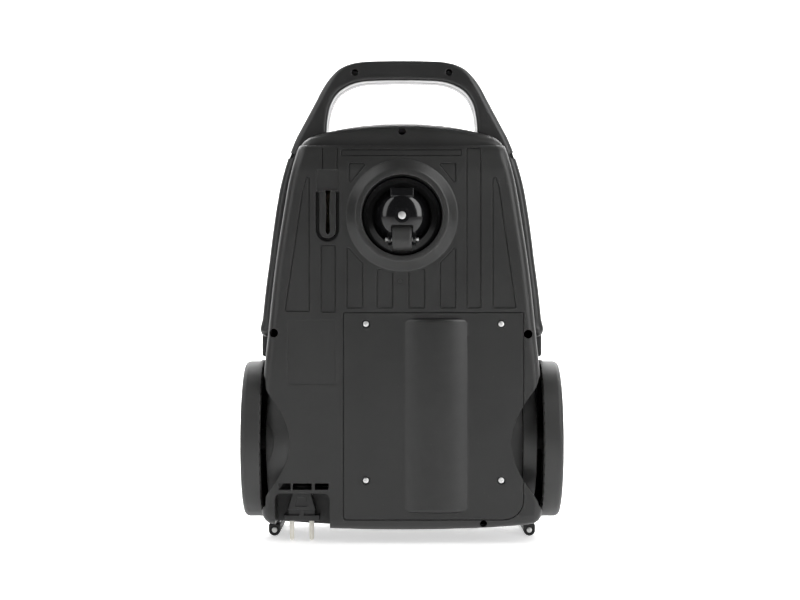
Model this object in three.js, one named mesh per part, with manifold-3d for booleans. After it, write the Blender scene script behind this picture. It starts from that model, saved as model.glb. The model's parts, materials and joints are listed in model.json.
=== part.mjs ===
// A bagged canister vacuum cleaner, parked upright on its rear end.
// Frame: X across the machine, Z up along its length (rear end at the bottom, carry handle at the top),
// Y through its thickness. Y = 0 here is the flat underside, and +Y runs towards the lid.
// The last lines shift the whole group so that the origin is at the centre of its footprint.
import * as THREE from "three";
import { mergeVertices } from "three/addons/utils/BufferGeometryUtils.js";
import Module from "manifold-3d";

const wasm = await Module();
wasm.setup();

// ---------------------------------------------------------------- driving dimensions, millimetres
const WALL = 2.6; // casing wall
const GAP = 0.35; // assembly gap between neighbouring pieces
const PARTING_Y = 112; // where the bottom casing meets the top casing
const LIP_Z = 380.5; // the bottom casing ends here and the top casing's front lip begins
const REAR_Z = 13.4; // rear end of the casings, at the centre
const FRONT_Z = 404.5; // front lip, at the centre
// Half the width at each height, as x and z.
const SIDE = [[134, 34], [132.6, 151], [127.4, 204], [121.3, 261], [112.8, 317], [107.8, 346], [100, 376]];
const TOP_LINE = [[8, 150], [18, 180], [28, 200], [50, 218], [84, 230], [124, 235], [174, 235.5], [209, 232],
  [254, 221], [304, 199], [354, 164], [384, 139], [412, 114]]; // z, y of the roof at x = 0
const SHOULDER = { from: 354, to: 380.5, depth: 16 }; // where the underside rolls away to the front
const UNDER_FILLET = 9; // rounding along the underside's long edges
const ROOF_START_Y = 108; // the side walls are straight up to here
const ROOF_POWER = 2.6; // squareness of the roof's section

const AXLE = { y: 65, z: 96.3 }; // rear wheels' axis
const WHEEL = { radius: 76, inner: 134.3, outer: 153.4, rim: 65.7, cap: 154.7 };
const ARCH = { radius: 87, x: 129.6 }; // clearance round each rear wheel
// The groove round the hub drum behind each wheel.
const DISH = {
  left: { drumR: 60.6, flareX: 129, deepR: 65, deepX: 107.6, mouthR: 81 },
  right: { drumR: 56, flareX: 117, deepR: 64.4, deepX: 104, mouthR: 85 },
};
const FENDER = { inner: 79.5, outer: 89, root: 126, tip: 142 }; // mudguard behind each wheel's back half

const CASTER = { z: 312.8, well: 38.4, floor: 36, collarR: 53.4, collarTop: -7.8, trail: 23, rollerR: 12.2,
  rollerY: 1, rollerHalf: 9.5, domeR: 28.5, stemR: 6, slotHalf: 10.4, earThick: 2.8 };

const COVER = { left: -55.3, right: 115.3, bottom: 23.8, top: 220.1, thick: 3, corner: 19 };
const COVER_SCREWS = [[-34.3, 209.6], [94.3, 209.6], [-34.3, 61], [94.3, 61]];
const MOTOR = { x: 32.5, y: 58, radius: 65, from: 30, to: 215 }; // motor tunnel, which bulges through the cover

const RECESS = { left: -121, right: -68.6, top: 48.5, depth: 42 }; // plug dock
const PLUG = { x: -96.5, y: 26.6, face: 20, pinLength: 19, pinSpacing: 19, pinR: 2.4, cordR: 3.1 };
const SLOT = { x: -70.8, width: 22.4, bottom: 287.8, top: 335.4, depth: 12 }; // the floor tool parks here
const PANEL_DEPTH = 0.6; // shallow panels sunk into the underside

const REEL = { y: 78, z: 122, radius: 66, hub: 26, left: -102.4, right: -59.4, flange: 2.2, windingR: 48 };
const FOOT = { x: 125.6, width: 12.4, height: 11.3, from: 66, to: 164, flat: 6 };
const BRAKE = { x: -61.6, y: 172, z: 142, rollerR: 7, rollerY: 152.2, rollerZ: 124, padY: 206, padZ: 159 };
const BULKHEAD = { from: 224.6, to: 227 };

const LID = { rear: 214, front: 383, halfRear: 106, halfFront: 84 };
const LID_AXIS = { y: 231, z: 212.5, inner: 22, outer: 40 };
const INLET = { z: 324, tilt: 35.6, bore: 19.5, outer: 27, flange: 33, above: 17, below: 22 };

const EXHAUST = { half: 68, bottom: 36, top: 96, rows: 5, pitch: 9 };
const PEDAL = { inner: 15, outer: 76, bottom: 124, top: 166, proud: 3 };
const DIAL = { z: 186, radius: 17, from: 227, to: 243 };
const LATCH = { half: 19, bottom: 385, top: 395.5 };

const HANDLE = { from: 50, split: 81, back: 112 };

// ---------------------------------------------------------------- solids from three.js geometry
function solid(geometry) {
  const bare = geometry.index ? geometry.toNonIndexed() : geometry.clone();
  for (const name of Object.keys(bare.attributes)) if (name !== "position") bare.deleteAttribute(name);
  const merged = mergeVertices(bare, 1e-4);
  const triVerts = new Uint32Array(merged.index.array);
  const vertProperties = new Float32Array(merged.attributes.position.array);
  const made = new wasm.Manifold(new wasm.Mesh({ numProp: 3, vertProperties, triVerts }));
  if (made.volume() > 0) return made;
  for (let i = 0; i < triVerts.length; i += 3) {
    [triVerts[i + 1], triVerts[i + 2]] = [triVerts[i + 2], triVerts[i + 1]];
  }
  return new wasm.Manifold(new wasm.Mesh({ numProp: 3, vertProperties, triVerts }));
}

const join = (first, ...rest) => rest.reduce((sum, next) => sum.add(next), first);
const cut = (first, ...rest) => rest.reduce((left, next) => left.subtract(next), first);
const both = (first, ...rest) => rest.reduce((kept, next) => kept.intersect(next), first);

function box(x0, x1, y0, y1, z0, z1) {
  const geometry = new THREE.BoxGeometry(x1 - x0, y1 - y0, z1 - z0);
  return solid(geometry.translate((x0 + x1) / 2, (y0 + y1) / 2, (z0 + z1) / 2));
}

// A shape drawn in x and z, pushed through the thickness from y0 to y1.
function prismY(shape, y0, y1) {
  const geometry = new THREE.ExtrudeGeometry(shape, { depth: y1 - y0, bevelEnabled: false, curveSegments: 4 });
  return solid(geometry.rotateX(Math.PI / 2).translate(0, y1, 0));
}

// A shape drawn in y and z, pushed sideways from x0 to x1.
function prismX(shape, x0, x1) {
  const geometry = new THREE.ExtrudeGeometry(shape, { depth: x1 - x0, bevelEnabled: false, curveSegments: 4 });
  const basis = new THREE.Matrix4().makeBasis(
    new THREE.Vector3(0, 1, 0), new THREE.Vector3(0, 0, 1), new THREE.Vector3(1, 0, 0));
  return solid(geometry.applyMatrix4(basis).translate(x0, 0, 0));
}

// A profile of [radius, along] points turned round an axis. It closes on itself unless it starts on the axis.
function lathe(profile, axis, at, segments = 24) {
  const points = profile.map(([r, h]) => new THREE.Vector2(r, h));
  if (profile[0][0] > 0 || profile[profile.length - 1][0] > 0) points.push(points[0].clone());
  const geometry = new THREE.LatheGeometry(points, segments);
  if (axis === "x") geometry.rotateZ(-Math.PI / 2);
  if (axis === "z") geometry.rotateX(Math.PI / 2);
  return solid(geometry.translate(...at));
}

const rod = (r, from, to, axis, at, segments = 14) =>
  lathe([[0, from], [r, from], [r, to], [0, to]], axis, at, segments);
const tube = (inner, outer, from, to, axis, at, segments = 24) =>
  lathe([[inner, from], [outer, from], [outer, to], [inner, to]], axis, at, segments);

// The same rod on one side of the machine or the other, between two distances from the middle.
const sideRod = (side, r, near, far, at, segments = 14) =>
  rod(r, Math.min(side * near, side * far), Math.max(side * near, side * far), "x", at, segments);
const sideBox = (side, near, far, y0, y1, z0, z1) =>
  box(Math.min(side * near, side * far), Math.max(side * near, side * far), y0, y1, z0, z1);

const polygon = (points) => new THREE.Shape(points.map(([a, b]) => new THREE.Vector2(a, b)));

function roundedRect(x0, x1, z0, z1, r) {
  const s = new THREE.Shape();
  s.moveTo(x0 + r, z0).lineTo(x1 - r, z0);
  s.absarc(x1 - r, z0 + r, r, -Math.PI / 2, 0).lineTo(x1, z1 - r);
  s.absarc(x1 - r, z1 - r, r, 0, Math.PI / 2).lineTo(x0 + r, z1);
  s.absarc(x0 + r, z1 - r, r, Math.PI / 2, Math.PI).lineTo(x0, z0 + r);
  s.absarc(x0 + r, z0 + r, r, Math.PI, 1.5 * Math.PI);
  return s;
}

// A closed outline from its right half, which runs from the bottom centre to the top centre.
function mirrored(path, divisions = 4) {
  const right = path.getPoints(divisions);
  const inside = right.filter((p) => p.x > 1e-6);
  return new THREE.Shape([...right, ...inside.reverse().map((p) => new THREE.Vector2(-p.x, p.y))]);
}

function between(table, at) {
  if (at <= table[0][0]) return table[0][1];
  for (let i = 1; i < table.length; i++) {
    const [a, va] = table[i - 1];
    const [b, vb] = table[i];
    if (at <= b) return va + ((vb - va) * (at - a)) / (b - a);
  }
  return table[table.length - 1][1];
}

// Rings of points, one above the other, skinned into one closed body.
function loft(rings) {
  const n = rings[0].length;
  const vertices = rings.flat();
  const index = [];
  for (let k = 0; k + 1 < rings.length; k++) {
    for (let i = 0; i < n; i++) {
      const a = k * n + i;
      const b = k * n + ((i + 1) % n);
      index.push(a, b, b + n, a, b + n, a + n);
    }
  }
  const last = (rings.length - 1) * n;
  for (let i = 1; i + 1 < n; i++) {
    index.push(0, i + 1, i);
    index.push(last, last + i, last + i + 1);
  }
  const geometry = new THREE.BufferGeometry().setFromPoints(vertices);
  return solid(geometry.setIndex(index));
}

// ---------------------------------------------------------------- the casings' common shape
const halfWidth = (z) => between(SIDE.map(([x, zz]) => [zz, x]), z);
const roof = (z) => between(TOP_LINE, z);

function underside(z) {
  if (z <= SHOULDER.from) return 0;
  if (z <= SHOULDER.to) {
    const t = (z - SHOULDER.from) / (SHOULDER.to - SHOULDER.from);
    return SHOULDER.depth * (1 - Math.sqrt(1 - 0.9 * t * t));
  }
  return 24 + 14 * ((z - SHOULDER.to) / (FRONT_Z - SHOULDER.to)) ** 2;
}

const LEVELS = [6, 26, 54, 90, 135, 209, 257, 304, 354, 366, 375, 380.4, 380.6, 397, 412];
const ROOF_STEPS = 5;

function bodyRing(z, inset) {
  const w = halfWidth(z) - inset;
  const low = underside(z) + inset;
  const high = roof(z) - inset;
  const fillet = Math.max(UNDER_FILLET - inset, 2);
  const right = [[0, low], [w - fillet, low]];
  for (const a of [45, 90]) {
    const t = THREE.MathUtils.degToRad(a);
    right.push([w - fillet + fillet * Math.sin(t), low + fillet - fillet * Math.cos(t)]);
  }
  const start = Math.min(ROOF_START_Y, high - 12);
  for (let i = 0; i < ROOF_STEPS; i++) {
    const t = (Math.PI / 2) * (i / ROOF_STEPS);
    right.push([w * Math.cos(t) ** (2 / ROOF_POWER), start + (high - start) * Math.sin(t) ** (2 / ROOF_POWER)]);
  }
  right.push([0, high]);
  const left = right.slice(1, -1).reverse().map(([x, y]) => [-x, y]);
  return [...right, ...left].map(([x, y]) => new THREE.Vector3(x, y, z));
}

// The outline of the casings seen from the underside.
function bodyOutline(inset) {
  const p = new THREE.Path();
  p.moveTo(0, REAR_Z + inset);
  p.quadraticCurveTo(70, REAR_Z + inset, 120 - inset, 18 + inset);
  p.quadraticCurveTo(134 - inset, 19.5 + inset, 134 - inset, 34 + inset);
  for (const [x, z] of SIDE.slice(1)) p.lineTo(x - inset, z);
  p.quadraticCurveTo(96.5 - inset, 388 - inset, 84 - inset, 391.7 - inset);
  p.quadraticCurveTo(44, FRONT_Z - inset, 0, FRONT_Z - inset);
  return mirrored(p);
}

const bodyBlock = (inset) =>
  both(loft(LEVELS.map((z) => bodyRing(z, inset))), prismY(bodyOutline(inset), -20, 260));

// Everything that bites into the casings from outside. "grow" is 0 for the cut and WALL for the wall round it.
function wheelDish(side, grow) {
  const g = grow;
  const d = side > 0 ? DISH.right : DISH.left;
  const profile = [[0, ARCH.x - g], [d.drumR - g, ARCH.x - g], [d.drumR - 0.8 * g, d.flareX - g],
    [d.deepR - 0.4 * g, d.deepX - 1.3 * g], [d.mouthR + 0.7 * g, ARCH.x - g], [ARCH.radius + g, ARCH.x - g], [ARCH.radius + g, 190], [0, 190]];
  return lathe(profile.map(([r, x]) => [r, side * x]), "x", [0, AXLE.y, AXLE.z], 28);
}

// The plug dock keeps its own wall where it passes the groove behind the left wheel.
function wheelDishes(grow) {
  return join(wheelDish(1, grow), cut(wheelDish(-1, grow), plugDock(WALL - grow)));
}

function casterWell(grow) {
  const c = CASTER;
  return rod(c.well + grow, -20, c.floor + grow, "y", [0, 0, c.z], 28);
}

function plugDock(grow) {
  const r = RECESS;
  return prismY(roundedRect(r.left - grow, r.right + grow, -30, r.top + grow, 6 + grow), -20, r.depth + grow);
}

function parkingSlot(grow) {
  const s = SLOT;
  const half = s.width / 2 + grow;
  const shape = new THREE.Shape();
  shape.moveTo(s.x - half, s.top + grow).lineTo(s.x - half, s.bottom + s.width / 2);
  shape.absarc(s.x, s.bottom + s.width / 2, half, Math.PI, 2 * Math.PI).lineTo(s.x + half, s.top + grow);
  return prismY(shape, -20, s.depth + grow);
}

const bites = (grow) => join(wheelDishes(grow), casterWell(grow), plugDock(grow), parkingSlot(grow));

function collar() {
  const c = CASTER;
  const outside = [[c.collarR, 1], [c.collarR, 0], [43.5, -7], [40.5, c.collarTop], [c.well, -7], [c.well, 1]];
  return lathe(outside, "y", [0, 0, c.z], 28);
}

function motorTunnel(inset) {
  const m = MOTOR;
  return rod(m.radius - inset, m.from + inset, m.to - inset, "z", [m.x, m.y, 0], 40);
}

const outerBody = cut(join(bodyBlock(0), motorTunnel(0), collar()), bites(0));
const cavity = cut(join(bodyBlock(WALL), motorTunnel(WALL)), bites(WALL));
const shell = cut(outerBody, cavity);

const lipZone = box(-200, 200, -20, PARTING_Y, LIP_Z, 430);
const roofZone = box(-200, 200, PARTING_Y, 260, -20, 430);

// ---------------------------------------------------------------- bottom casing and the motor cover
function coverOutline(grow) {
  const c = COVER;
  const s = new THREE.Shape();
  s.moveTo(c.left - grow, c.bottom - grow).lineTo(c.right - c.corner, c.bottom - grow);
  s.absarc(c.right - c.corner, c.bottom + c.corner, c.corner + grow, -Math.PI / 2, 0);
  s.lineTo(c.right + grow, c.top + grow).lineTo(c.left - grow, c.top + grow);
  return s;
}

function coverBosses(outer, inner, from, to) {
  return join(...COVER_SCREWS.map(([x, z]) => (inner > 0
    ? tube(inner, outer, from, to, "y", [x, 0, z], 12)
    : rod(outer, from, to, "y", [x, 0, z], 12))));
}

function sideScrewHoles() {
  return join(
    rod(4.2, -5, 9, "y", [-122, 0, 201], 12), rod(4.2, -5, 9, "y", [120, 0, 200], 12),
    rod(3.5, -5, 9, "y", [77.5, 0, 19.5], 12));
}

function cordSlots() {
  const slots = [[-117.2, -105.8], [-103.9, -85.8], [-82.9, -69.6]];
  return join(...slots.map(([a, b]) => box(a, b, -5, 3.6, 52.4, 58.1)));
}

function sunkPanels() {
  const panel = (points) => prismY(polygon(points), -3, PANEL_DEPTH);
  const mirror = (points) => points.map(([x, z]) => [-x, z]);
  const tall = [[-111.8, 220.8], [-88.2, 220.8], [-88.2, 350], [-91, 350]];
  const wedge = [[-52.4, 224.9], [-37.3, 224.9], [-37.3, 268.5], [-52.4, 282]];
  const triangle = [[-50.5, 361.5], [-33.5, 361.5], [-50.5, 343]];
  const panels = join(
    panel(tall), panel(mirror(tall).map(([x, z]) => [x - 2, z + 4])),
    panel(wedge), panel(mirror(wedge)), panel(triangle), panel(mirror(triangle)),
    panel([[-78.3, 220.8], [-62.9, 220.8], [-62.9, 284], [-78.3, 284]]),
    panel([[-23.8, 224.9], [-8.6, 224.9], [-8.6, 259], [-23.8, 259]]),
    panel([[6.3, 224.9], [21.9, 224.9], [21.9, 259], [6.3, 259]]),
    panel([[61.7, 224.9], [75.5, 224.9], [75.5, 352], [61.7, 352]]));
  return cut(panels, rod(CASTER.collarR + 2.5, -10, 5, "y", [0, 0, CASTER.z], 32));
}

function bottomCasing() {
  const c = CASTER;
  const coverCut = prismY(coverOutline(GAP), -20, 45);
  const ledge = cut(both(prismY(coverOutline(4), 3.4, 6), bodyBlock(1)), prismY(coverOutline(-6), 0, 10),
    box(104, 130, 0, 10, 66, 130));
  const ledgeWall = cut(both(prismY(coverOutline(4), 1, 6), bodyBlock(1)), prismY(coverOutline(GAP), -5, 10));
  const stemBoss = rod(12, c.floor, 50, "y", [0, 0, c.z], 18);
  const axleBosses = join(...[1, -1].map((s) => sideRod(s, 13, 106, 128, [0, AXLE.y, AXLE.z], 18)));
  const axleHoles = join(...[1, -1].map((s) => sideRod(s, 5.35, 104, 150, [0, AXLE.y, AXLE.z], 16)));
  const footSeats = join(...[1, -1].map((s) =>
    box(s * FOOT.x - 5, s * FOOT.x + 5, 72, PARTING_Y, FOOT.height + GAP, 30)));
  const lower = cut(both(shell, box(-200, 200, -20, PARTING_Y - GAP, -20, LIP_Z - GAP)), coverCut);
  const dockCorner = cut(both(bodyBlock(1), box(-140, -110, -5, 38, 10, 44)), bites(0));
  const made = join(lower, cut(ledge, wheelDish(1, WALL + GAP)), cut(ledgeWall, wheelDish(1, 0)),
    stemBoss, axleBosses, dockCorner, cut(footSeats, cavity, box(-200, 200, PARTING_Y - GAP, 200, -20, 60)));
  const cordHole = rod(7, RECESS.top - 8, RECESS.top + 8, "z", [PLUG.x, PLUG.y, 0]);
  const toolSlit = box(SLOT.x - 2, SLOT.x + 2, 5, 30, 293, 333);
  return cut(made, rod(c.stemR + 0.35, 0, 60, "y", [0, 0, c.z], 18), axleHoles, sideScrewHoles(), cordSlots(),
    coverBosses(1.9, 0, 0, 30), cordHole, toolSlit, sunkPanels());
}

function motorCover() {
  const slab = both(shell, prismY(coverOutline(0), -20, 45));
  const plate = cut(slab, box(-200, 200, COVER.thick, 60, 0, 250).subtract(wheelDish(1, WALL)));
  const recess = coverBosses(4.4, 0, -5, 1.2);
  return cut(join(plate, coverBosses(5, 0, 0, 2.9)), recess, coverBosses(1.9, 0, -5, 30));
}

// ---------------------------------------------------------------- top casing, lid and what is let into them
function lidOutline(grow) {
  const l = LID;
  const p = new THREE.Path();
  p.moveTo(0, l.rear - grow).lineTo(l.halfRear - 8, l.rear - grow);
  p.quadraticCurveTo(l.halfRear + grow, l.rear - grow, l.halfRear + grow, l.rear + 8);
  p.lineTo(l.halfFront + 4 + grow, 350);
  p.quadraticCurveTo(l.halfFront - 6 + grow, 373 + grow, 60, 377.5 + grow);
  p.quadraticCurveTo(30, l.front + grow, 0, l.front + grow);
  return mirrored(p);
}

const inletFrame = new THREE.Matrix4()
  .makeTranslation(0, roof(INLET.z), INLET.z)
  .multiply(new THREE.Matrix4().makeRotationX(THREE.MathUtils.degToRad(INLET.tilt)));

// A turned piece on the hose inlet's axis. Along is measured from the lid's surface, outwards.
function onInlet(profile, segments = 24) {
  const points = profile.map(([r, h]) => new THREE.Vector2(r, h));
  if (profile[0][0] > 0) points.push(points[0].clone());
  return solid(new THREE.LatheGeometry(points, segments).applyMatrix4(inletFrame));
}

function inletBox(halfX, halfZ, from, to) {
  const geometry = new THREE.BoxGeometry(2 * halfX, to - from, 2 * halfZ).translate(0, (from + to) / 2, 0);
  return solid(geometry.applyMatrix4(inletFrame));
}

const skin = (outset, inset) => cut(bodyBlock(-outset), bodyBlock(inset));
const high = (shape) => prismY(shape, 100, 270);
const exhaustShape = (grow) =>
  roundedRect(-EXHAUST.half - grow, EXHAUST.half + grow, EXHAUST.bottom - grow, EXHAUST.top + grow, 6 + grow);
const pedalShape = (side, grow) => roundedRect(
  Math.min(side * PEDAL.inner, side * PEDAL.outer) - grow, Math.max(side * PEDAL.inner, side * PEDAL.outer) + grow,
  PEDAL.bottom - grow, PEDAL.top + grow, 7 + grow);
const latchShape = (grow) =>
  roundedRect(-LATCH.half - grow, LATCH.half + grow, LATCH.bottom - grow, LATCH.top + grow, 4);
const windowShape = (grow) => roundedRect(-17 - grow, 17 + grow, 246 - grow, 258 + grow, 5 + grow);
const roofBlock = bodyBlock(0);
const seatFrom = bodyBlock(5.8);
const seatTo = bodyBlock(8);

// The mudguard behind a wheel's back half, which closes the view between the wheel and the casing.
function fender(side) {
  const f = FENDER;
  const ends = [side * f.root, side * f.tip];
  const ring = tube(f.inner, f.outer, Math.min(...ends), Math.max(...ends), "x", [0, AXLE.y, AXLE.z], 28);
  return both(ring, box(-200, 200, PARTING_Y, 260, FOOT.height + GAP, 300));
}

function topCasing() {
  const openings = join(high(lidOutline(0.6)), high(lidOutline(0.6)).translate(0, 0, 1), high(exhaustShape(0.5)),
    high(pedalShape(1, 0.5)), high(pedalShape(-1, 0.5)), prismY(latchShape(0.5), 100, 270));
  const dialHole = rod(DIAL.radius + 0.5, 200, 270, "y", [0, 0, DIAL.z], 20);
  const ledgeWall = both(cut(roofBlock, seatTo), cut(high(lidOutline(4)), high(lidOutline(0.6))));
  const ledge = both(cut(seatFrom, seatTo), cut(high(lidOutline(4)), high(lidOutline(-7))));
  const latchClear = prismY(latchShape(0.5), 100, 270);
  const a = LID_AXIS;
  const hingeRelief = cut(rod(5, -a.outer - 1, a.outer + 1, "x", [0, a.y, a.z]),
    box(-a.inner - 0.3, a.inner + 0.3, 200, 250, 200, 230));
  const upper = both(shell, join(roofZone, lipZone));
  const seatBottom = FOOT.height + GAP;
  const seatShape = polygon([[PARTING_Y, seatBottom], [FOOT.to, seatBottom], [FOOT.to, 20], [152, 48], [PARTING_Y, 48]]);
  const seats = cut(join(...[1, -1].map((s) => prismX(seatShape, s * FOOT.x - 5, s * FOOT.x + 5))), cavity,
    wheelDish(1, 0), wheelDish(-1, 0));
  const fenders = cut(join(fender(1), fender(-1)), cavity);
  const hoodClear = onInlet([[0, -40], [INLET.flange + 1, -40], [INLET.flange + 1, 30], [0, 30]]);
  const lipScrew = rod(3.8, 20, 46, "y", [0, 0, 395.5], 12);
  const shellAndSeats = join(cut(upper, openings), cut(join(ledge, ledgeWall), hoodClear, latchClear), seats, fenders);
  const pinHole = rod(2.3, -60, 60, "x", [0, a.y, a.z], 12);
  return cut(join(cut(shellAndSeats, dialHole, hingeRelief, lipScrew), hingeKnuckle()), pinHole);
}

function lid() {
  const plate = both(skin(0, WALL), high(lidOutline(0)));
  const hood = both(bodyBlock(0), onInlet([[0, -9], [INLET.flange + 4, -9], [INLET.flange + 4, 12], [0, 12]]));
  const holes = join(onInlet([[0, -60], [INLET.outer + GAP, -60], [INLET.outer + GAP, 40], [0, 40]]),
    high(windowShape(0.3)));
  const a = LID_AXIS;
  const knuckles = join(...[1, -1].map((s) => join(
    sideRod(s, 4, a.inner + GAP, a.outer, [0, a.y, a.z], 16),
    sideBox(s, a.inner + GAP, a.outer, a.y - 4, a.y, a.z, LID.rear + 6))));
  const middleRelief = rod(4.6, -a.inner - GAP, a.inner + GAP, "x", [0, a.y, a.z], 16);
  const pinHole = rod(2.2, -90, 90, "x", [0, a.y, a.z], 12);
  return cut(join(cut(join(plate, hood), middleRelief), knuckles), holes, pinHole);
}

// The middle knuckle of the lid hinge is moulded on the top casing; a steel pin runs through all three.
function hingeKnuckle() {
  const a = LID_AXIS;
  const barrel = rod(4, -a.inner, a.inner, "x", [0, a.y, a.z], 16);
  const foot = box(-a.inner, a.inner, a.y - 3.5, a.y, a.z - 6, a.z);
  return join(barrel, foot);
}

const hingePin = () =>
  rod(2, -LID_AXIS.outer - 0.6, LID_AXIS.outer + 0.6, "x", [0, LID_AXIS.y, LID_AXIS.z], 12);

function lidSeal() {
  const ring = cut(high(lidOutline(-3)), high(lidOutline(-7)));
  const clear = onInlet([[0, -60], [INLET.flange + 5, -60], [INLET.flange + 5, 30], [0, 30]]);
  const webClear = box(-44, 44, 200, 250, 200, 221);
  return cut(both(cut(bodyBlock(WALL + GAP), bodyBlock(5.4)), ring), clear, webClear);
}

function inletCollar() {
  const i = INLET;
  return onInlet([[i.bore, -i.below], [i.outer - 3, -i.below], [i.outer, -8], [i.outer, 1.5], [i.flange, 3],
    [i.flange, 5], [i.outer, 7], [i.outer - 1, i.above], [i.bore, i.above]]);
}

function inletSeal() {
  const bore = 13;
  const outer = INLET.outer - 3.5;
  const top = -INLET.below - GAP;
  const bottom = -INLET.below - 2.6;
  return onInlet([[bore, bottom], [outer, bottom], [outer, top], [bore, top]]);
}

function pedal(side) {
  const cap = both(skin(PEDAL.proud, 5), high(pedalShape(side, 0)));
  const stem = box(side * 50 - 7, side * 50 + 7, 208, 229, 154, 164);
  return join(cap, stem);
}

function exhaustCover() {
  const plate = both(skin(0, WALL), high(exhaustShape(0)));
  const slots = [];
  for (let row = 0; row < EXHAUST.rows; row++) {
    const z = EXHAUST.bottom + 12 + row * EXHAUST.pitch;
    for (const side of [-1, 1]) slots.push(sideBox(side, 4, 61, 150, 270, z - 1.6, z + 1.6));
  }
  return cut(plate, ...slots);
}

const exhaustFilter = () => both(cut(bodyBlock(8), bodyBlock(20)), high(roundedRect(-60, 60, 50, 90, 3)));

function dial() {
  const knob = rod(DIAL.radius, DIAL.from, DIAL.to, "y", [0, 0, DIAL.z], 20);
  return cut(knob, box(-2, 2, DIAL.to - 2, DIAL.to + 2, DIAL.z - 14, DIAL.z + 14));
}

function latchButton() {
  return both(skin(0, 9), prismY(latchShape(0), 100, 270));
}

// ---------------------------------------------------------------- carry handle
function handleOutline() {
  const p = new THREE.Path();
  p.moveTo(0, 176);
  const arm = [[139, 176], [139, 200], [136.7, 213], [134.3, 236], [129.9, 271.5], [125.4, 307], [120, 340.5],
    [112.2, 369.5], [102.8, 393], [93, 410.5], [82.7, 430.3]];
  for (const [x, z] of arm) p.lineTo(x, z);
  p.quadraticCurveTo(75, 447, 64.6, 456.7);
  p.quadraticCurveTo(55, 464.5, 34.3, 466.5);
  p.quadraticCurveTo(18, 467.2, 0, 467.2);
  return mirrored(p, 4);
}

function handleOpening() {
  const p = new THREE.Path();
  p.moveTo(0, 380).lineTo(73.6, 380).lineTo(73.6, 396).lineTo(71.8, 417.3);
  p.quadraticCurveTo(68, 431, 58.7, 437.3);
  p.quadraticCurveTo(47, 446, 30, 446.5);
  p.lineTo(0, 447.3);
  return mirrored(p, 4);
}

function handleBlock() {
  const strip = cut(prismY(handleOutline(), 40, 160), prismY(handleOpening(), 30, 170),
    prismY(bodyOutline(-GAP), 30, 170));
  const wheelRoom = rod(WHEEL.radius + 3.5, -200, 200, "x", [0, AXLE.y, AXLE.z], 36);
  return cut(strip, wheelRoom);
}

const handleSide = (front, back) => polygon([...front, ...back.reverse()]);

function handleHalf(lower) {
  const h = HANDLE;
  const front = [[h.from, 160], [h.from, 440], [h.from + 3, 475]];
  const middle = (off) => [[h.split + off, 160], [h.split + off, 400], [68 + off, 475]];
  const back = [[h.back, 160], [h.back, 372], [122, 396], [112, 420], [86, 456], [83, 475]];
  const side = lower ? handleSide(front, middle(-0.15)) : handleSide(middle(0.15), back);
  return both(handleBlock(), prismX(side, -200, 200));
}

function handleLower() {
  const pockets = [[-46, 454.7], [46, 454.7], [-108.6, 374], [108.6, 374]];
  return cut(handleHalf(true), ...pockets.map(([x, z]) => rod(3.5, 40, 58, "y", [x, 0, z], 12)));
}

// ---------------------------------------------------------------- wheels and caster
const wheelAt = [0, AXLE.y, AXLE.z];
const mirrorX = (profile, side) => profile.map(([r, x]) => [r, side * x]);

function tyre(side) {
  const w = WHEEL;
  return lathe(mirrorX([[w.rim + GAP, w.inner], [w.radius, w.inner], [w.radius, w.outer - 4.2],
    [w.radius - 1.4, w.outer - 1], [w.radius - 4.6, w.outer], [w.rim + GAP, w.outer]], side), "x", wheelAt, 40);
}

function wheelDisc(side) {
  const w = WHEEL;
  const profile = [[5.25, 131.6], [11, 131.6], [11, 148.4], [w.rim - 3, 148.4], [w.rim - 3, 137], [w.rim, 137],
    [w.rim, w.outer], [58, 152.6], [24, 152.9], [18.3, 153.4], [18.3, 151.6], [5.25, 151.6]];
  return lathe(mirrorX(profile, side), "x", wheelAt, 28);
}

function hubCap(side) {
  const profile = [[0, 152], [17.9, 152], [17.9, 153.4], [13, 154.2], [6, 154.6], [0, WHEEL.cap]];
  return lathe(mirrorX(profile, side), "x", wheelAt, 20);
}
const wheelAxle = (side) => sideRod(side, 5, 107, 151.4, wheelAt, 16);

const casterAt = [0, 0, CASTER.z];
const rollerAt = [0, CASTER.rollerY, CASTER.z - CASTER.trail];

function casterDome() {
  const c = CASTER;
  const dome = lathe([[0, -4.5], [9, -4], [18, -0.5], [24.5, 6], [c.domeR, 15], [c.domeR, 23], [c.stemR, 24],
    [c.stemR, 46], [0, 46]], "y", casterAt, 24);
  const far = c.slotHalf + c.earThick;
  const ears = join(...[1, -1].map((s) => join(
    sideRod(s, 5, c.slotHalf, far, rollerAt),
    sideBox(s, c.slotHalf, far, c.rollerY, 20, rollerAt[2] - 5, rollerAt[2] + 7))));
  const slot = box(-c.slotHalf, c.slotHalf, -20, 15.5, 260, 303.5);
  const pinHole = rod(2.1, -20, 20, "x", rollerAt, 12);
  return cut(join(cut(dome, slot), ears), pinHole, rod(4.6, -10, -1.5, "y", casterAt));
}

const casterScrew = () => lathe([[0, -4.4], [2.6, -4.4], [3.8, -3], [3.8, -1.9], [0, -1.9]], "y", casterAt, 14);
const casterPin = () => rod(2, -16, 16, "x", rollerAt, 10);
function casterRoller() {
  const r = CASTER.rollerR;
  const half = CASTER.rollerHalf;
  const profile = [[2.2, -half], [r - 1.2, -half], [r, 1.2 - half], [r, half - 1.2], [r - 1.2, half], [2.2, half]];
  return lathe(profile, "x", rollerAt, 24);
}

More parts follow.
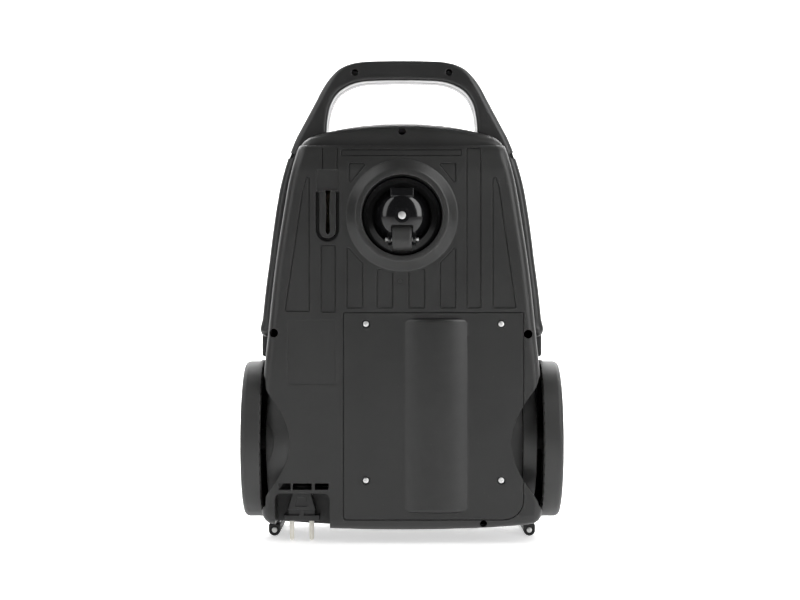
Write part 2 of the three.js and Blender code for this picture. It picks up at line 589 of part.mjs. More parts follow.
// ---------------------------------------------------------------- feet
function foot(side) {
  const f = FOOT;
  const half = f.width / 2;
  const s = new THREE.Shape();
  s.moveTo(-f.flat / 2, 0).lineTo(f.flat / 2, 0).quadraticCurveTo(half, 0.6, half, 6).lineTo(half, f.height);
  s.lineTo(-half, f.height).lineTo(-half, 6).quadraticCurveTo(-half, 0.6, -f.flat / 2, 0);
  const rail = prismY(s, f.from, f.to).translate(side * f.x, 0, 0);
  return cut(rail, rod(4, f.from - 1, f.from + 1.6, "y", [side * f.x, 0, 5.6], 12),
    rod(1.8, f.from - 1, f.from + 16, "y", [side * f.x, 0, 5.6], 8));
}

function screw(x, y, z, headR, shankR, length) {
  return lathe([[0, 0], [headR, 0], [headR, 1.4], [shankR, 1.4], [shankR, length], [0, length]], "y", [x, y, z], 10);
}

// ---------------------------------------------------------------- plug, cord and reel
function plugBody() {
  const p = PLUG;
  const s = new THREE.Shape();
  s.moveTo(-17.5, p.face).lineTo(17.5, p.face).lineTo(17.5, p.face + 8);
  s.quadraticCurveTo(17, p.face + 10.5, 14.2, p.face + 11).lineTo(9, p.face + 27.8).lineTo(-9, p.face + 27.8);
  s.lineTo(-14.2, p.face + 11).quadraticCurveTo(-17, p.face + 10.5, -17.5, p.face + 8);
  const shape = prismY(s, p.y - 7, p.y + 7).translate(p.x, 0, 0);
  const holes = join(...[-1, 1].map((k) =>
    rod(p.pinR + 0.3, p.face - 3, p.face + 6, "z", [p.x + (k * p.pinSpacing) / 2, p.y, 0], 12)));
  return cut(shape, holes, rod(p.cordR + 0.3, p.face + 20, p.face + 40, "z", [p.x, p.y, 0], 12));
}

function plugPin(k) {
  const p = PLUG;
  const tip = p.face - p.pinLength;
  const profile = [[0, tip], [p.pinR - 0.7, tip], [p.pinR, tip + 1], [p.pinR, p.face + 5.6], [0, p.face + 5.6]];
  return lathe(profile, "z", [p.x + (k * p.pinSpacing) / 2, p.y, 0], 12);
}

// The cord runs straight from the plug to where it meets the winding.
function cordLead() {
  const p = PLUG;
  const path = new THREE.LineCurve3(new THREE.Vector3(p.x, p.y, p.face + 20.6), new THREE.Vector3(p.x, p.y, REEL.z));
  const section = new THREE.Shape();
  section.absarc(0, 0, p.cordR, 0, 2 * Math.PI);
  return solid(new THREE.ExtrudeGeometry(section, { steps: 4, extrudePath: path, curveSegments: 4 }));
}

const cordGuide = () => lathe([[4.2, RECESS.top + 0.4], [6.6, RECESS.top + 0.4], [6.6, RECESS.top + WALL + GAP],
  [10.5, RECESS.top + WALL + GAP], [10.5, RECESS.top + 6], [6.4, RECESS.top + 6.5], [4.2, RECESS.top + 9]],
  "z", [PLUG.x, PLUG.y, 0], 14);

const reelAt = [0, REEL.y, REEL.z];

function cordReel() {
  const r = REEL;
  return cut(lathe([[7, r.left], [r.radius, r.left], [r.radius, r.left + r.flange], [r.hub, r.left + r.flange],
    [r.hub, r.right - r.flange], [r.radius, r.right - r.flange], [r.radius, r.right], [7, r.right]], "x", reelAt, 28),
  tube(11, r.hub - 3, r.right - 18, r.right + 1, "x", reelAt, 18));
}

const cordWinding = () => tube(REEL.hub + GAP, REEL.windingR, REEL.left + REEL.flange + GAP,
  REEL.right - REEL.flange - GAP, "x", reelAt, 28);
const rewindSpring = () => tube(11.6, REEL.hub - 3.8, REEL.right - 16, REEL.right - 4, "x", reelAt, 18);

function reelStand() {
  const plate = prismX(polygon([[REEL.y - 16, REEL.z - 34], [REEL.y + 16, REEL.z - 34], [REEL.y + 16, REEL.z + 16],
    [REEL.y - 16, REEL.z + 16]]), REEL.right + 0.8, REEL.right + 3.8);
  const post = box(REEL.right + 0.8, REEL.right + 3.8, 8, REEL.y, REEL.z - 30, REEL.z - 10);
  return cut(join(plate, post), rod(6.8, -80, 0, "x", reelAt, 20));
}
const reelAxle = () => rod(6.4, REEL.left - 1.2, REEL.right + 6, "x", reelAt, 20);

// A seesaw on the reel's side: the rewind pedal pushes its upper arm in, and the roller leaves the flange.
function brakeLever() {
  const b = BRAKE;
  const outline = [[b.rollerY + 3.5, b.rollerZ - 5], [b.y + 5, b.z - 5], [b.padY + 1, b.padZ - 4], [b.padY, b.padZ + 4],
    [b.padY - 7, b.padZ + 3], [b.y - 4, b.z + 5], [b.rollerY - 3.5, b.rollerZ + 5]];
  return prismX(polygon(outline), b.x + 4.5, b.x + 8.5);
}
const brakeRoller = () => rod(BRAKE.rollerR, BRAKE.x - 3.5, BRAKE.x + 4, "x", [0, BRAKE.rollerY, BRAKE.rollerZ]);

// ---------------------------------------------------------------- suction motor, filters, dust bag
const motorAt = [MOTOR.x, MOTOR.y, 0];
const fanCase = () => lathe([[18, 212], [48, 212], [56, 206], [56, 158], [46, 158], [46, 160.5], [53.5, 160.5],
  [53.5, 204.5], [47, 209.4], [18, 209.4]], "z", motorAt, 24);
const fanRotor = () => lathe([[0, 66], [4.1, 66], [4.1, 172], [50, 172], [50, 174], [14, 176], [14, 196], [48, 190],
  [48, 192], [22, 203], [0, 205]], "z", motorAt, 24);
const motorBody = () => lathe([[4.6, 84], [30, 84], [41, 92], [41, 150], [52.5, 152], [52.5, 157.6], [4.6, 157.6]],
  "z", motorAt, 24);
const frontMount = () => tube(38, 49.5, 212.4, 220.2, "z", motorAt);
const rearMount = () => lathe([[6, 60], [22, 60], [28, 83.6], [6, 83.6]], "z", motorAt, 20);

function bulkhead() {
  const b = BULKHEAD;
  const wall = cut(both(bodyBlock(WALL + 0.4), box(-200, 200, -20, 260, b.from, b.to)), lidSeat(),
    bites(WALL + 0.4));
  const slots = [];
  for (let i = 0; i < 7; i++) {
    slots.push(box(MOTOR.x - 30, MOTOR.x + 30, 34 + i * 8, 38.5 + i * 8, b.from - 5, b.to + 5));
  }
  return cut(wall, ...slots);
}
// The room that the lid's ledge and seal take up along their edge.
const lidSeat = () => both(high(lidOutline(4.5)), cut(bodyBlock(0), bodyBlock(8.4)));

function prefilterFrame() {
  return cut(box(MOTOR.x - 44, MOTOR.x + 44, 20, 112, BULKHEAD.to + GAP, 241),
    box(MOTOR.x - 38, MOTOR.x + 38, 26, 106, 220, 236), box(MOTOR.x - 32, MOTOR.x + 32, 32, 100, 230, 250));
}
const prefilterFoam = () =>
  box(MOTOR.x - 37.5, MOTOR.x + 37.5, 26.5, 105.5, BULKHEAD.to + GAP + 0.2, 235.6);

function dustBag() {
  const room = both(bodyBlock(17), box(-90, 90, 56, 190, 246, 366));
  return cut(room, inletBox(200, 200, -33.5, 80), cut(box(-200, 200, 0, 70, 200, 420), bodyBlock(22)));
}
const bagCollar = () => cut(inletBox(44, 40, -28.2, -25.4), onInlet([[0, -50], [16, -50], [16, 0], [0, 0]], 24));

function bagHolder() {
  const bar = both(inletBox(130, 44, -32.8, -28.6), bodyBlock(WALL + 0.4));
  return cut(bar, onInlet([[0, -50], [24, -50], [24, 0], [0, 0]]), bites(WALL + 0.4), lidSeat());
}

// ---------------------------------------------------------------- the scene graph
const MATERIALS = {
  casing: { color: 0x2b2c2d, roughness: 0.55, metalness: 0 },
  handle: { color: 0x262728, roughness: 0.5, metalness: 0 },
  lid: { color: 0x101113, roughness: 0.18, metalness: 0 },
  gloss: { color: 0x060607, roughness: 0.1, metalness: 0 },
  wheel: { color: 0x303132, roughness: 0.5, metalness: 0 },
  rubber: { color: 0x1a1a1b, roughness: 0.8, metalness: 0 },
  steel: { color: 0xc4c7ca, roughness: 0.3, metalness: 1 },
  accent: { color: 0x8d9297, roughness: 0.35, metalness: 0.2 },
  pin: { color: 0xe9e6da, roughness: 0.4, metalness: 0 },
  cord: { color: 0x161617, roughness: 0.6, metalness: 0 },
  window: { color: 0x8b1414, roughness: 0.1, metalness: 0 },
  paper: { color: 0xd8d2c2, roughness: 0.9, metalness: 0 },
  card: { color: 0xb59c72, roughness: 0.85, metalness: 0 },
  foam: { color: 0x3d4450, roughness: 0.95, metalness: 0 },
  inner: { color: 0xd9dadb, roughness: 0.5, metalness: 0 },
};

function meshOf(name, made, material) {
  const raw = made.getMesh();
  const stride = raw.numProp;
  const position = new Float32Array(raw.numVert * 3);
  for (let i = 0; i < raw.numVert; i++) {
    position.set(raw.vertProperties.subarray(i * stride, i * stride + 3), i * 3);
  }
  const geometry = new THREE.BufferGeometry();
  geometry.setAttribute("position", new THREE.BufferAttribute(position, 3));
  geometry.setIndex(new THREE.BufferAttribute(raw.triVerts, 1));
  geometry.computeVertexNormals();
  const mesh = new THREE.Mesh(geometry, new THREE.MeshStandardMaterial(MATERIALS[material]));
  mesh.name = name;
  return mesh;
}

const vacuum = new THREE.Group();
vacuum.name = "canister_vacuum";
const add = (name, made, material) => vacuum.add(meshOf(name, made, material));

add("bottom_casing", bottomCasing(), "casing");
add("motor_cover", motorCover(), "casing");
add("top_casing", topCasing(), "casing");
add("handle_lower_shell", handleLower(), "handle");
add("handle_upper_shell", handleHalf(false), "handle");
add("lid", lid(), "lid");
add("lid_seal", lidSeal(), "rubber");
add("lid_hinge_pin", hingePin(), "steel");
add("lid_latch_button", latchButton(), "accent");
add("bag_indicator_window", both(skin(0, WALL), high(windowShape(0))), "window");
add("hose_inlet_collar", inletCollar(), "accent");
add("hose_inlet_seal", inletSeal(), "rubber");
add("power_pedal", pedal(1), "accent");
add("rewind_pedal", pedal(-1), "accent");
add("suction_dial", dial(), "accent");
add("exhaust_grille", exhaustCover(), "casing");
add("exhaust_filter", exhaustFilter(), "paper");
for (const [side, word] of [[-1, "left"], [1, "right"]]) {
  add("tyre_" + word, tyre(side), "rubber");
  add("wheel_disc_" + word, wheelDisc(side), "wheel");
  add("hub_cap_" + word, hubCap(side), "gloss");
  add("wheel_axle_" + word, wheelAxle(side), "steel");
  add("rear_foot_" + word, foot(side), "rubber");
  add("foot_screw_" + word, screw(side * FOOT.x, FOOT.from, 5.6, 2.8, 1.5, 15), "steel");
}
add("caster_dome", casterDome(), "gloss");
add("caster_screw", casterScrew(), "steel");
add("caster_pin", casterPin(), "steel");
add("caster_roller", casterRoller(), "rubber");
COVER_SCREWS.forEach(([x, z], i) => add("cover_screw_" + (i + 1), screw(x, -0.3, z, 2.8, 1.55, 12), "steel"));
add("plug_body", plugBody(), "cord");
add("plug_pin_left", plugPin(-1), "pin");
add("plug_pin_right", plugPin(1), "pin");
add("cord_lead", cordLead(), "cord");
add("cord_winding", cordWinding(), "cord");
add("cord_guide", cordGuide(), "rubber");
add("cord_reel", cordReel(), "inner");
add("rewind_spring", rewindSpring(), "steel");
add("reel_axle", reelAxle(), "steel");
add("reel_stand", reelStand(), "inner");
add("brake_lever", brakeLever(), "inner");
add("brake_roller", brakeRoller(), "rubber");
add("fan_case", fanCase(), "steel");
add("fan_rotor", fanRotor(), "accent");
add("motor_body", motorBody(), "inner");
add("motor_mount_front", frontMount(), "rubber");
add("motor_mount_rear", rearMount(), "rubber");
add("chamber_bulkhead", bulkhead(), "inner");
add("prefilter_frame", prefilterFrame(), "inner");
add("prefilter_foam", prefilterFoam(), "foam");
add("dust_bag", dustBag(), "paper");
add("bag_collar", bagCollar(), "card");
add("bag_holder", bagHolder(), "inner");

const DEPTH_CENTRE = 116; // half way through the thickness, wheels' front to dial's top
vacuum.position.y = -DEPTH_CENTRE;

export default vacuum;
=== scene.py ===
"""The looks of a bagged canister vacuum cleaner, parked upright on its rear feet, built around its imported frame.

Sizes are in millimetres in the design's own frame: x across, z up along the cleaner, and y through its
thickness from the underside (y = 0) to the lid. place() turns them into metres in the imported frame.
"""

import json
import math

import bmesh
import bpy
import numpy as np
from mathutils import Matrix, Vector


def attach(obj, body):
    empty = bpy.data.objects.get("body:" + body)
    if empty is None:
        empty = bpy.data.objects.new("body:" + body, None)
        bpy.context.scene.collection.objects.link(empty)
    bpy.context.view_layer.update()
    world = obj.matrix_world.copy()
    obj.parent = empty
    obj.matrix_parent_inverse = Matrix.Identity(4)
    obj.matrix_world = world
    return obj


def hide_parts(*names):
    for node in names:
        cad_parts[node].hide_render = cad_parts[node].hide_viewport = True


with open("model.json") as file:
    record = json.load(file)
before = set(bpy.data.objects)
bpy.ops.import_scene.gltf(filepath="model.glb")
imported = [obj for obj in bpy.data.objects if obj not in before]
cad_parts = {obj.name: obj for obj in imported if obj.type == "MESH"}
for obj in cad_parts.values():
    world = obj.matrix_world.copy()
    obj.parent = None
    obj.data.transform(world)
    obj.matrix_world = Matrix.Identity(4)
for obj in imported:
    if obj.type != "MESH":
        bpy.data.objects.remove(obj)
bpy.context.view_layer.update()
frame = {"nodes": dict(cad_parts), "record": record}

# ---------------------------------------------------------------- driving dimensions
MM = 0.001
DEPTH_CENTRE = 116.0
WALL = 2.6
PARTING_Y = 112.0
LIP_Z = 380.5
REAR_Z = 13.4
FRONT_Z = 404.5
UNDER_FILLET = 9.0
ROOF_START_Y = 108.0
ROOF_POWER = 2.6
SIDE = [(34, 134), (151, 132.6), (204, 127.4), (261, 121.3), (317, 112.8), (346, 107.8), (376, 100),
        (412, 90)]
TOP_LINE = [(8, 150), (18, 180), (28, 200), (50, 218), (84, 230), (124, 235), (174, 235.5), (209, 232),
            (254, 221), (304, 199), (354, 164), (384, 139), (412, 114)]
SHOULDER_FROM, SHOULDER_TO, SHOULDER_DEPTH = 354.0, 380.5, 16.0

AXLE = (0.0, 65.0, 96.3)
ARCH_R, ARCH_X = 87.0, 129.6
GROOVE = {  # round the hub drum behind each wheel
    -1: dict(drum=60.6, flare=129.0, deep_r=65.0, deep_x=107.6, mouth=81.6),
    1: dict(drum=56.0, flare=117.0, deep_r=64.2, deep_x=103.6, mouth=85.0),
}
FENDER = dict(inner=79.5, outer=89.0, root=126.0, tip=142.0)
CASTER = (0.0, 0.0, 312.8)
WELL_R, WELL_FLOOR, TRAIL = 38.4, 36.0, 23.0
CASTER_CLEAR = 54.6  # the radius round the caster that the panels keep clear of
COVER = dict(left=-55.3, right=115.3, bottom=23.8, top=220.1, corner=19.0, thick=3.0)
COVER_SCREWS = [(-34.3, 209.6), (94.3, 209.6), (-34.3, 61.0), (94.3, 61.0)]
MOTOR = dict(x=32.5, y=58.0, radius=65.0, bottom=30.0, top=215.0)
DOCK = dict(left=-121.0, right=-68.6, top=48.5, depth=42.0)
PLUG = dict(x=-96.5, y=26.6, face=20.0, pin_length=19.0, spacing=19.0, pin_r=2.4, cord_r=3.1)
SLOT = dict(x=-70.8, half=11.2, bottom=287.8, top=335.4, depth=12.0, inner=8.1)
LID = dict(rear=214.0, front=383.0, half_rear=106.0, half_front=84.0)
LID_AXIS = dict(y=231.0, z=212.5, inner=22.0, outer=40.0)
INLET = dict(z=324.0, tilt=math.radians(35.6), bore=19.5, outer=27.0, flange=33.0, above=17.0, below=22.0)
WINDOW = (-17, 17, 246, 258)
EXHAUST = (-68, 68, 36, 96)
GRILLE_ROWS, GRILLE_PITCH = 7, 7
GRILLE_COLUMNS = ((-61, -22), (-19, 19), (22, 61))
PEDAL = (15, 76, 124, 166)
DIAL = dict(z=186.0, radius=17.0, start=227.0, end=243.0)
DIAL_GRIPS = 30
LATCH = (-19, 19, 385, 395.5)
HANDLE = dict(front=50.0, split=81.0, back=112.0)
FOOT = dict(x=125.6, half=5.7, height=11.3, front=66.0, back=164.0)
BAG = dict(bottom=247.0, height=117.0, front=60.0, back=186.0)
REEL = dict(y=78.0, z=122.0, radius=66.0, hub=26.0, left=-102.4, right=-59.4, flange=2.2, winding=48.0)

# The camera, in metres.
CAMERA_DISTANCE = 1.75
CAMERA_X = -0.0019
CAMERA_HEIGHT = 0.2324
FRAME_WIDTH = 0.76  # how much of the underside's plane the picture is wide

record = frame["record"]
BODY_OF = {n: b for b, nodes in record["behaviour"]["bodies"].items() for n in nodes}
SLOT_OF = {s["node"]: s["material_slot"] for s in record["subparts"]}


# ---------------------------------------------------------------- meshes from points
def place(points):
    array = np.array(points, dtype=float).reshape(-1, 3)
    array[:, 1] -= DEPTH_CENTRE
    return array * MM


def linked(name, data):
    """A new object in the scene."""
    made = bpy.data.objects.new(name, data)
    bpy.context.scene.collection.objects.link(made)
    return made


def mesh_object(points, faces):
    mesh = bpy.data.meshes.new("solid")
    mesh.from_pydata(place(points).tolist(), [], faces)
    work = bmesh.new()
    work.from_mesh(mesh)
    bmesh.ops.remove_doubles(work, verts=work.verts, dist=1e-7)
    bmesh.ops.recalc_face_normals(work, faces=work.faces)
    work.to_mesh(mesh)
    work.free()
    return linked("solid", mesh)


def loft(rings):
    """Rings of points of one length, skinned into a closed solid."""
    n = len(rings[0])
    points = [p for ring in rings for p in ring]
    faces = []
    for k in range(len(rings) - 1):
        a, b = k * n, (k + 1) * n
        faces += [(a + i, a + (i + 1) % n, b + (i + 1) % n, b + i) for i in range(n)]
    last = (len(rings) - 1) * n
    faces += [tuple(range(n - 1, -1, -1)), tuple(range(last, last + n))]
    return mesh_object(points, faces)


def lathe(profile, axis, at, segments=96):
    """A profile of (radius, along) turned round an axis. It closes on itself unless it starts on the axis."""
    order = {"x": lambda r, s, h: (h, r, s), "y": lambda r, s, h: (r, h, s), "z": lambda r, s,
             h: (r, s, h)}[axis]
    points, rows, faces = [], [], []
    for radius, along in profile:
        count = 1 if radius < 1e-6 else segments
        row = list(range(len(points), len(points) + count))
        for k in range(count):
            a = 2 * math.pi * k / segments
            p = order(radius * math.cos(a), radius * math.sin(a), along)
            points.append([p[i] + at[i] for i in range(3)])
        rows.append(row)
    pairs = list(zip(rows, rows[1:]))
    if profile[0][0] > 1e-6:
        pairs.append((rows[-1], rows[0]))
    for low, high in pairs:
        if len(low) == 1 and len(high) == 1:
            continue
        for k in range(segments):
            j = (k + 1) % segments
            quad = [low[k % len(low)], low[j % len(low)], high[j % len(high)], high[k % len(high)]]
            faces.append(tuple(dict.fromkeys(quad)))
    return mesh_object(points, faces)


def rod(radius, start, end, axis, at, segments=48, chamfer=0.0):
    c = chamfer
    profile = [(0, start), (radius - c, start), (radius, start + c), (radius, end - c), (radius - c, end),
               (0, end)]
    if not c:
        profile = [(0, start), (radius, start), (radius, end), (0, end)]
    return lathe(profile, axis, at, segments)


def tube(inner, outer, start, end, axis, at, segments=64):
    return lathe([(inner, start), (outer, start), (outer, end), (inner, end)], axis, at, segments)


def rounded(corners, radius, steps=6):
    """A polygon with an arc of the given radius at each corner; radius may be a list, one for each corner."""
    radii = radius if isinstance(radius, (list, tuple)) else [radius] * len(corners)
    outline = []
    for i, corner in enumerate(corners):
        p = np.array(corner, float)
        to_a = np.array(corners[i - 1], float) - p
        to_b = np.array(corners[(i + 1) % len(corners)], float) - p
        len_a, len_b = np.linalg.norm(to_a), np.linalg.norm(to_b)
        to_a, to_b = to_a / len_a, to_b / len_b
        half = math.acos(max(-1.0, min(1.0, float(to_a @ to_b)))) / 2
        if radii[i] <= 0 or half > math.pi / 2 - 0.02:
            outline.append(tuple(p))
            continue
        reach = min(radii[i] / math.tan(half), 0.49 * min(len_a, len_b))
        r = reach * math.tan(half)
        middle = (to_a + to_b) / np.linalg.norm(to_a + to_b)
        centre = p + middle * r / math.sin(half)
        start, end = p + to_a * reach - centre, p + to_b * reach - centre
        angle_a, angle_b = math.atan2(start[1], start[0]), math.atan2(end[1], end[0])
        turn = (angle_b - angle_a + math.pi) % (2 * math.pi) - math.pi
        for k in range(steps + 1):
            a = angle_a + turn * k / steps
            outline.append((centre[0] + r * math.cos(a), centre[1] + r * math.sin(a)))
    return outline


def box_outline(x0, x1, z0, z1, radius=0.0, grow=0.0):
    corners = [(x0 - grow, z0 - grow), (x1 + grow, z0 - grow), (x1 + grow, z1 + grow), (x0 - grow, z1 + grow)]
    return rounded(corners, radius + grow if radius else 0.0)


def offset(outline, distance):
    """The outline moved outwards by the distance along its corners' bisectors."""
    p = np.array(outline, float)
    if distance == 0:
        return [tuple(q) for q in p]
    area = 0.5 * np.sum(p[:, 0] * np.roll(p[:, 1], -1) - np.roll(p[:, 0], -1) * p[:, 1])
    edge = np.roll(p, -1, axis=0) - p
    edge /= np.linalg.norm(edge, axis=1, keepdims=True) + 1e-12
    normal = np.stack([edge[:, 1], -edge[:, 0]], axis=1) * (1 if area > 0 else -1)
    before = np.roll(normal, 1, axis=0)
    bisector = normal + before
    scale = distance * 2 / np.maximum((bisector ** 2).sum(axis=1), 0.5)
    return [tuple(q) for q in p + bisector * scale[:, None]]


def prism(outline, axis, start, end):
    """An outline in (x, z) pushed along y, or in (y, z) pushed along x."""
    at = {"x": lambda u, v, h: (h, u, v), "y": lambda u, v, h: (u, h, v)}[axis]
    return loft([[at(u, v, h) for u, v in outline] for h in (start, end)])


def block(x0, x1, y0, y1, z0, z1):
    return prism([(x0, z0), (x1, z0), (x1, z1), (x0, z1)], "y", y0, y1)


def mirrored(half):
    """A closed outline from its right half, listed from the bottom centre to the top centre."""
    return list(half) + [(-x, z) for x, z in reversed(half) if x > 1e-6]


def curve(*stretches, steps=10):
    """Points along straight (2 points) and quadratic (3 points) stretches."""
    out = []
    for s in stretches:
        s = [np.array(p, float) for p in s]
        for k in range(steps + 1 if len(s) == 3 else 2):
            t = k / (steps if len(s) == 3 else 1)
            p = s[0] * (1 - t) + s[1] * t if len(s) == 2 else \
                s[0] * (1 - t) ** 2 + 2 * s[1] * t * (1 - t) + s[2] * t ** 2
            if not out or np.linalg.norm(p - out[-1]) > 1e-4:
                out.append(p)
    return [tuple(p) for p in out]


# ---------------------------------------------------------------- joins and cuts
def spend(*objects):
    for o in objects:
        mesh = o.data
        bpy.data.objects.remove(o)
        bpy.data.meshes.remove(mesh)


def apply_modifiers(o):
    graph = bpy.context.evaluated_depsgraph_get()
    graph.update()
    result = bpy.data.meshes.new_from_object(o.evaluated_get(graph))
    o.modifiers.clear()
    old = o.data
    o.data = result
    bpy.data.meshes.remove(old)
    return o


def combine(operation, base, tools):
    for tool in tools:
        step = base.modifiers.new("step", "BOOLEAN")
        step.solver = "MANIFOLD"
        step.operation = operation
        step.object = tool
        apply_modifiers(base)
        spend(tool)
    return base


def join(base, *tools):
    return combine("UNION", base, tools)


def cut(base, *tools):
    return combine("DIFFERENCE", base, tools)


def both(base, *tools):
    return combine("INTERSECT", base, tools)


def copy(o):
    twin = o.copy()
    twin.data = o.data.copy()
    bpy.context.scene.collection.objects.link(twin)
    return twin


def gather(objects):
    """Puts solids that don't touch into one object, without a boolean."""
    work = bmesh.new()
    for o in objects:
        work.from_mesh(o.data)
    mesh = bpy.data.meshes.new("group")
    work.to_mesh(mesh)
    work.free()
    spend(*objects)
    return linked("group", mesh)


def shade(o, angle=32.0):
    mesh = o.data
    mesh.polygons.foreach_set("use_smooth", [True] * len(mesh.polygons))
    mesh.set_sharp_from_angle(angle=math.radians(angle))
    step = o.modifiers.new("normals", "WEIGHTED_NORMAL")
    step.keep_sharp = True
    step.weight = 80
    return apply_modifiers(o)


def soften(o, voxel, rounds):
    """Rounds every edge: the solid is rebuilt from even small faces, which are then smoothed."""
    remesh = o.modifiers.new("remesh", "REMESH")
    remesh.mode = "VOXEL"
    remesh.voxel_size = voxel * MM
    smooth = o.modifiers.new("smooth", "SMOOTH")
    smooth.iterations = rounds
    smooth.factor = 0.5
    apply_modifiers(o)
    o.data.polygons.foreach_set("use_smooth", [True] * len(o.data.polygons))
    return o


def bevelled(o, width, segments=3, angle=35.0):
    step = o.modifiers.new("bevel", "BEVEL")
    step.width = width * MM
    step.segments = segments
    step.limit_method = "ANGLE"
    step.angle_limit = math.radians(angle)
    step.use_clamp_overlap = True
    return apply_modifiers(o)


# ---------------------------------------------------------------- the casings' common shape
def smooth_between(table, at):
    """A smooth curve through the table's points."""
    keys = np.array([k for k, _ in table], float)
    values = np.array([v for _, v in table], float)
    at = np.clip(np.asarray(at, float), keys[0], keys[-1])
    chord = np.diff(values) / np.diff(keys)
    slope = np.concatenate([[chord[0]], 0.5 * (chord[1:] + chord[:-1]), [chord[-1]]])
    i = np.clip(np.searchsorted(keys, at, side="right") - 1, 0, len(keys) - 2)
    width = keys[i + 1] - keys[i]
    t = (at - keys[i]) / width
    return ((2 * t ** 3 - 3 * t ** 2 + 1) * values[i] + (t ** 3 - 2 * t ** 2 + t) * width * slope[i]
            + (3 * t ** 2 - 2 * t ** 3) * values[i + 1] + (t ** 3 - t ** 2) * width * slope[i + 1])


def underside(z):
    if z <= SHOULDER_FROM:
        return 0.0
    if z <= SHOULDER_TO:
        t = (z - SHOULDER_FROM) / (SHOULDER_TO - SHOULDER_FROM)
        return SHOULDER_DEPTH * (1 - math.sqrt(1 - 0.9 * t * t))
    return 24 + 14 * ((z - SHOULDER_TO) / (FRONT_Z - SHOULDER_TO)) ** 2


def body_outline(grow=0.0):
    """The casings' outline, seen from the underside."""
    g = grow
    side = [(float(smooth_between(SIDE, z)) + g, z) for z in np.linspace(34 - g, 376, 40)]
    half = curve([(0, REAR_Z - g), (70, REAR_Z - g), (120 + g, 18 - g)],
                 [(120 + g, 18 - g), (134 + g, 19.5 - g), (134 + g, 34 - g)]) + side[1:]
    half += curve([side[-1], (96.5 + g, 388 + g), (84 + g, 391.7 + g)],
                  [(84 + g, 391.7 + g), (44, FRONT_Z + g), (0, FRONT_Z + g)])[1:]
    return mirrored(half)


def edge_distance(x, z, outline):
    """How far inside the outline each point lies; 0 outside it."""
    p = np.stack([x, z], axis=-1)[..., None, :]
    a = np.array(outline)
    b = np.roll(a, -1, axis=0)
    along = b - a
    t = np.clip(((p - a) * along).sum(-1) / (along ** 2).sum(-1), 0, 1)
    near = np.linalg.norm(p - (a + t[..., None] * along), axis=-1).min(axis=-1)
    crosses = ((a[:, 1] > p[..., 1]) != (b[:, 1] > p[..., 1])) & (
        p[..., 0] < (b[:, 0] - a[:, 0]) * (p[..., 1] - a[:, 1]) / (b[:, 1] - a[:, 1] + 1e-9) + a[:, 0])
    inside = crosses.sum(axis=-1) % 2 == 1
    return np.where(inside, near, 0.0)


OUTLINE = body_outline()
FINE_LEVELS = np.unique(np.concatenate([np.arange(8, 34, 1.0), np.arange(34, 352, 4.0),
                                        np.arange(352, 380.4, 1.2),
                                        [380.4, 380.6], np.arange(382, 412.1, 1.5)]))
COARSE_LEVELS = np.array([6, 18, 34, 60, 100, 150, 204, 250, 300, 350, 362, 372, 380.4, 380.6, 396, 412.0])


def body_ring(z, inset, fine):
    w = float(smooth_between(SIDE, z)) - inset
    low = underside(z)
    high = float(smooth_between(TOP_LINE, z)) - inset
    edge = UNDER_FILLET - inset
    steps = 10 if fine else 3
    edges = [w - edge * (1 - math.sin(0.5 * math.pi * k / steps)) for k in range(steps + 1)]
    flat = list(np.linspace(0, edges[0], 26 if fine else 4)[:-1])
    xs = np.array(flat + edges)
    depth = edge_distance(xs, np.full(len(xs), z), OUTLINE)
    room = np.clip(UNDER_FILLET - depth, 0, UNDER_FILLET)
    ys = low + inset + UNDER_FILLET - np.sqrt(UNDER_FILLET ** 2 - room ** 2)
    right = list(zip(xs, ys))
    start = min(ROOF_START_Y, high - 12)
    roof_steps = 30 if fine else 6
    for k in range(roof_steps):
        t = 0.5 * math.pi * k / roof_steps
        right.append((w * math.cos(t) ** (2 / ROOF_POWER),
                      start + (high - start) * math.sin(t) ** (2 / ROOF_POWER)))
    right.append((0.0, high))
    ring = right + [(-x, y) for x, y in reversed(right[1:-1])]
    return [(x, y, z) for x, y in ring]


def body_block(inset=0.0, fine=True):
    """The solid that the casings are shells of. A negative inset grows it."""
    made = loft([body_ring(z, inset, fine) for z in (FINE_LEVELS if fine else COARSE_LEVELS)])
    return both(made, prism(body_outline(-inset), "y", -30, 270))


def wheel_dish(side, grow=0.0):
    """Room for a wheel: a flat arch, and a groove round the drum behind the wheel's hub."""
    g, d = grow, GROOVE[side]
    profile = [(0, ARCH_X - g), (d["drum"] - g - 0.8, ARCH_X - g), (d["drum"] - g, ARCH_X - g - 0.8),
               (d["drum"] - 0.8 * g, d["flare"] - g - 0.9),
               (d["deep_r"] - 0.4 * g - 0.6, d["deep_x"] - 1.3 * g + 0.8),
               (d["deep_r"] - 0.3 * g, d["deep_x"] - 1.3 * g),
               (d["deep_r"] + 0.7, d["deep_x"] - 1.3 * g + 0.4),
               (d["mouth"] + 0.7 * g - 0.5, ARCH_X - g - 0.8), (d["mouth"] + 0.7 * g + 0.7, ARCH_X - g),
               (ARCH_R + g - 0.8, ARCH_X - g), (ARCH_R + g, ARCH_X - g + 0.8), (ARCH_R + g, 190), (0, 190)]
    return lathe([(r, side * x) for r, x in profile], "x", AXLE, 160)


def left_dish(grow=0.0):
    """The plug dock keeps its own wall where it passes the groove."""
    return cut(wheel_dish(-1, grow), plug_dock(WALL - grow))


def caster_well(grow=0.0):
    return rod(WELL_R + grow, -20, WELL_FLOOR + grow, "y", CASTER, 128)


def plug_dock(grow=0.0):
    d, g = DOCK, grow
    corners = [(d["left"] - g, -30), (d["right"] + g, -30), (d["right"] + g, d["top"] + g),
               (d["left"] - g, d["top"] + g)]
    return prism(rounded(corners, [0, 0, 6 + g, 6 + g]), "y", -20, d["depth"] + g)


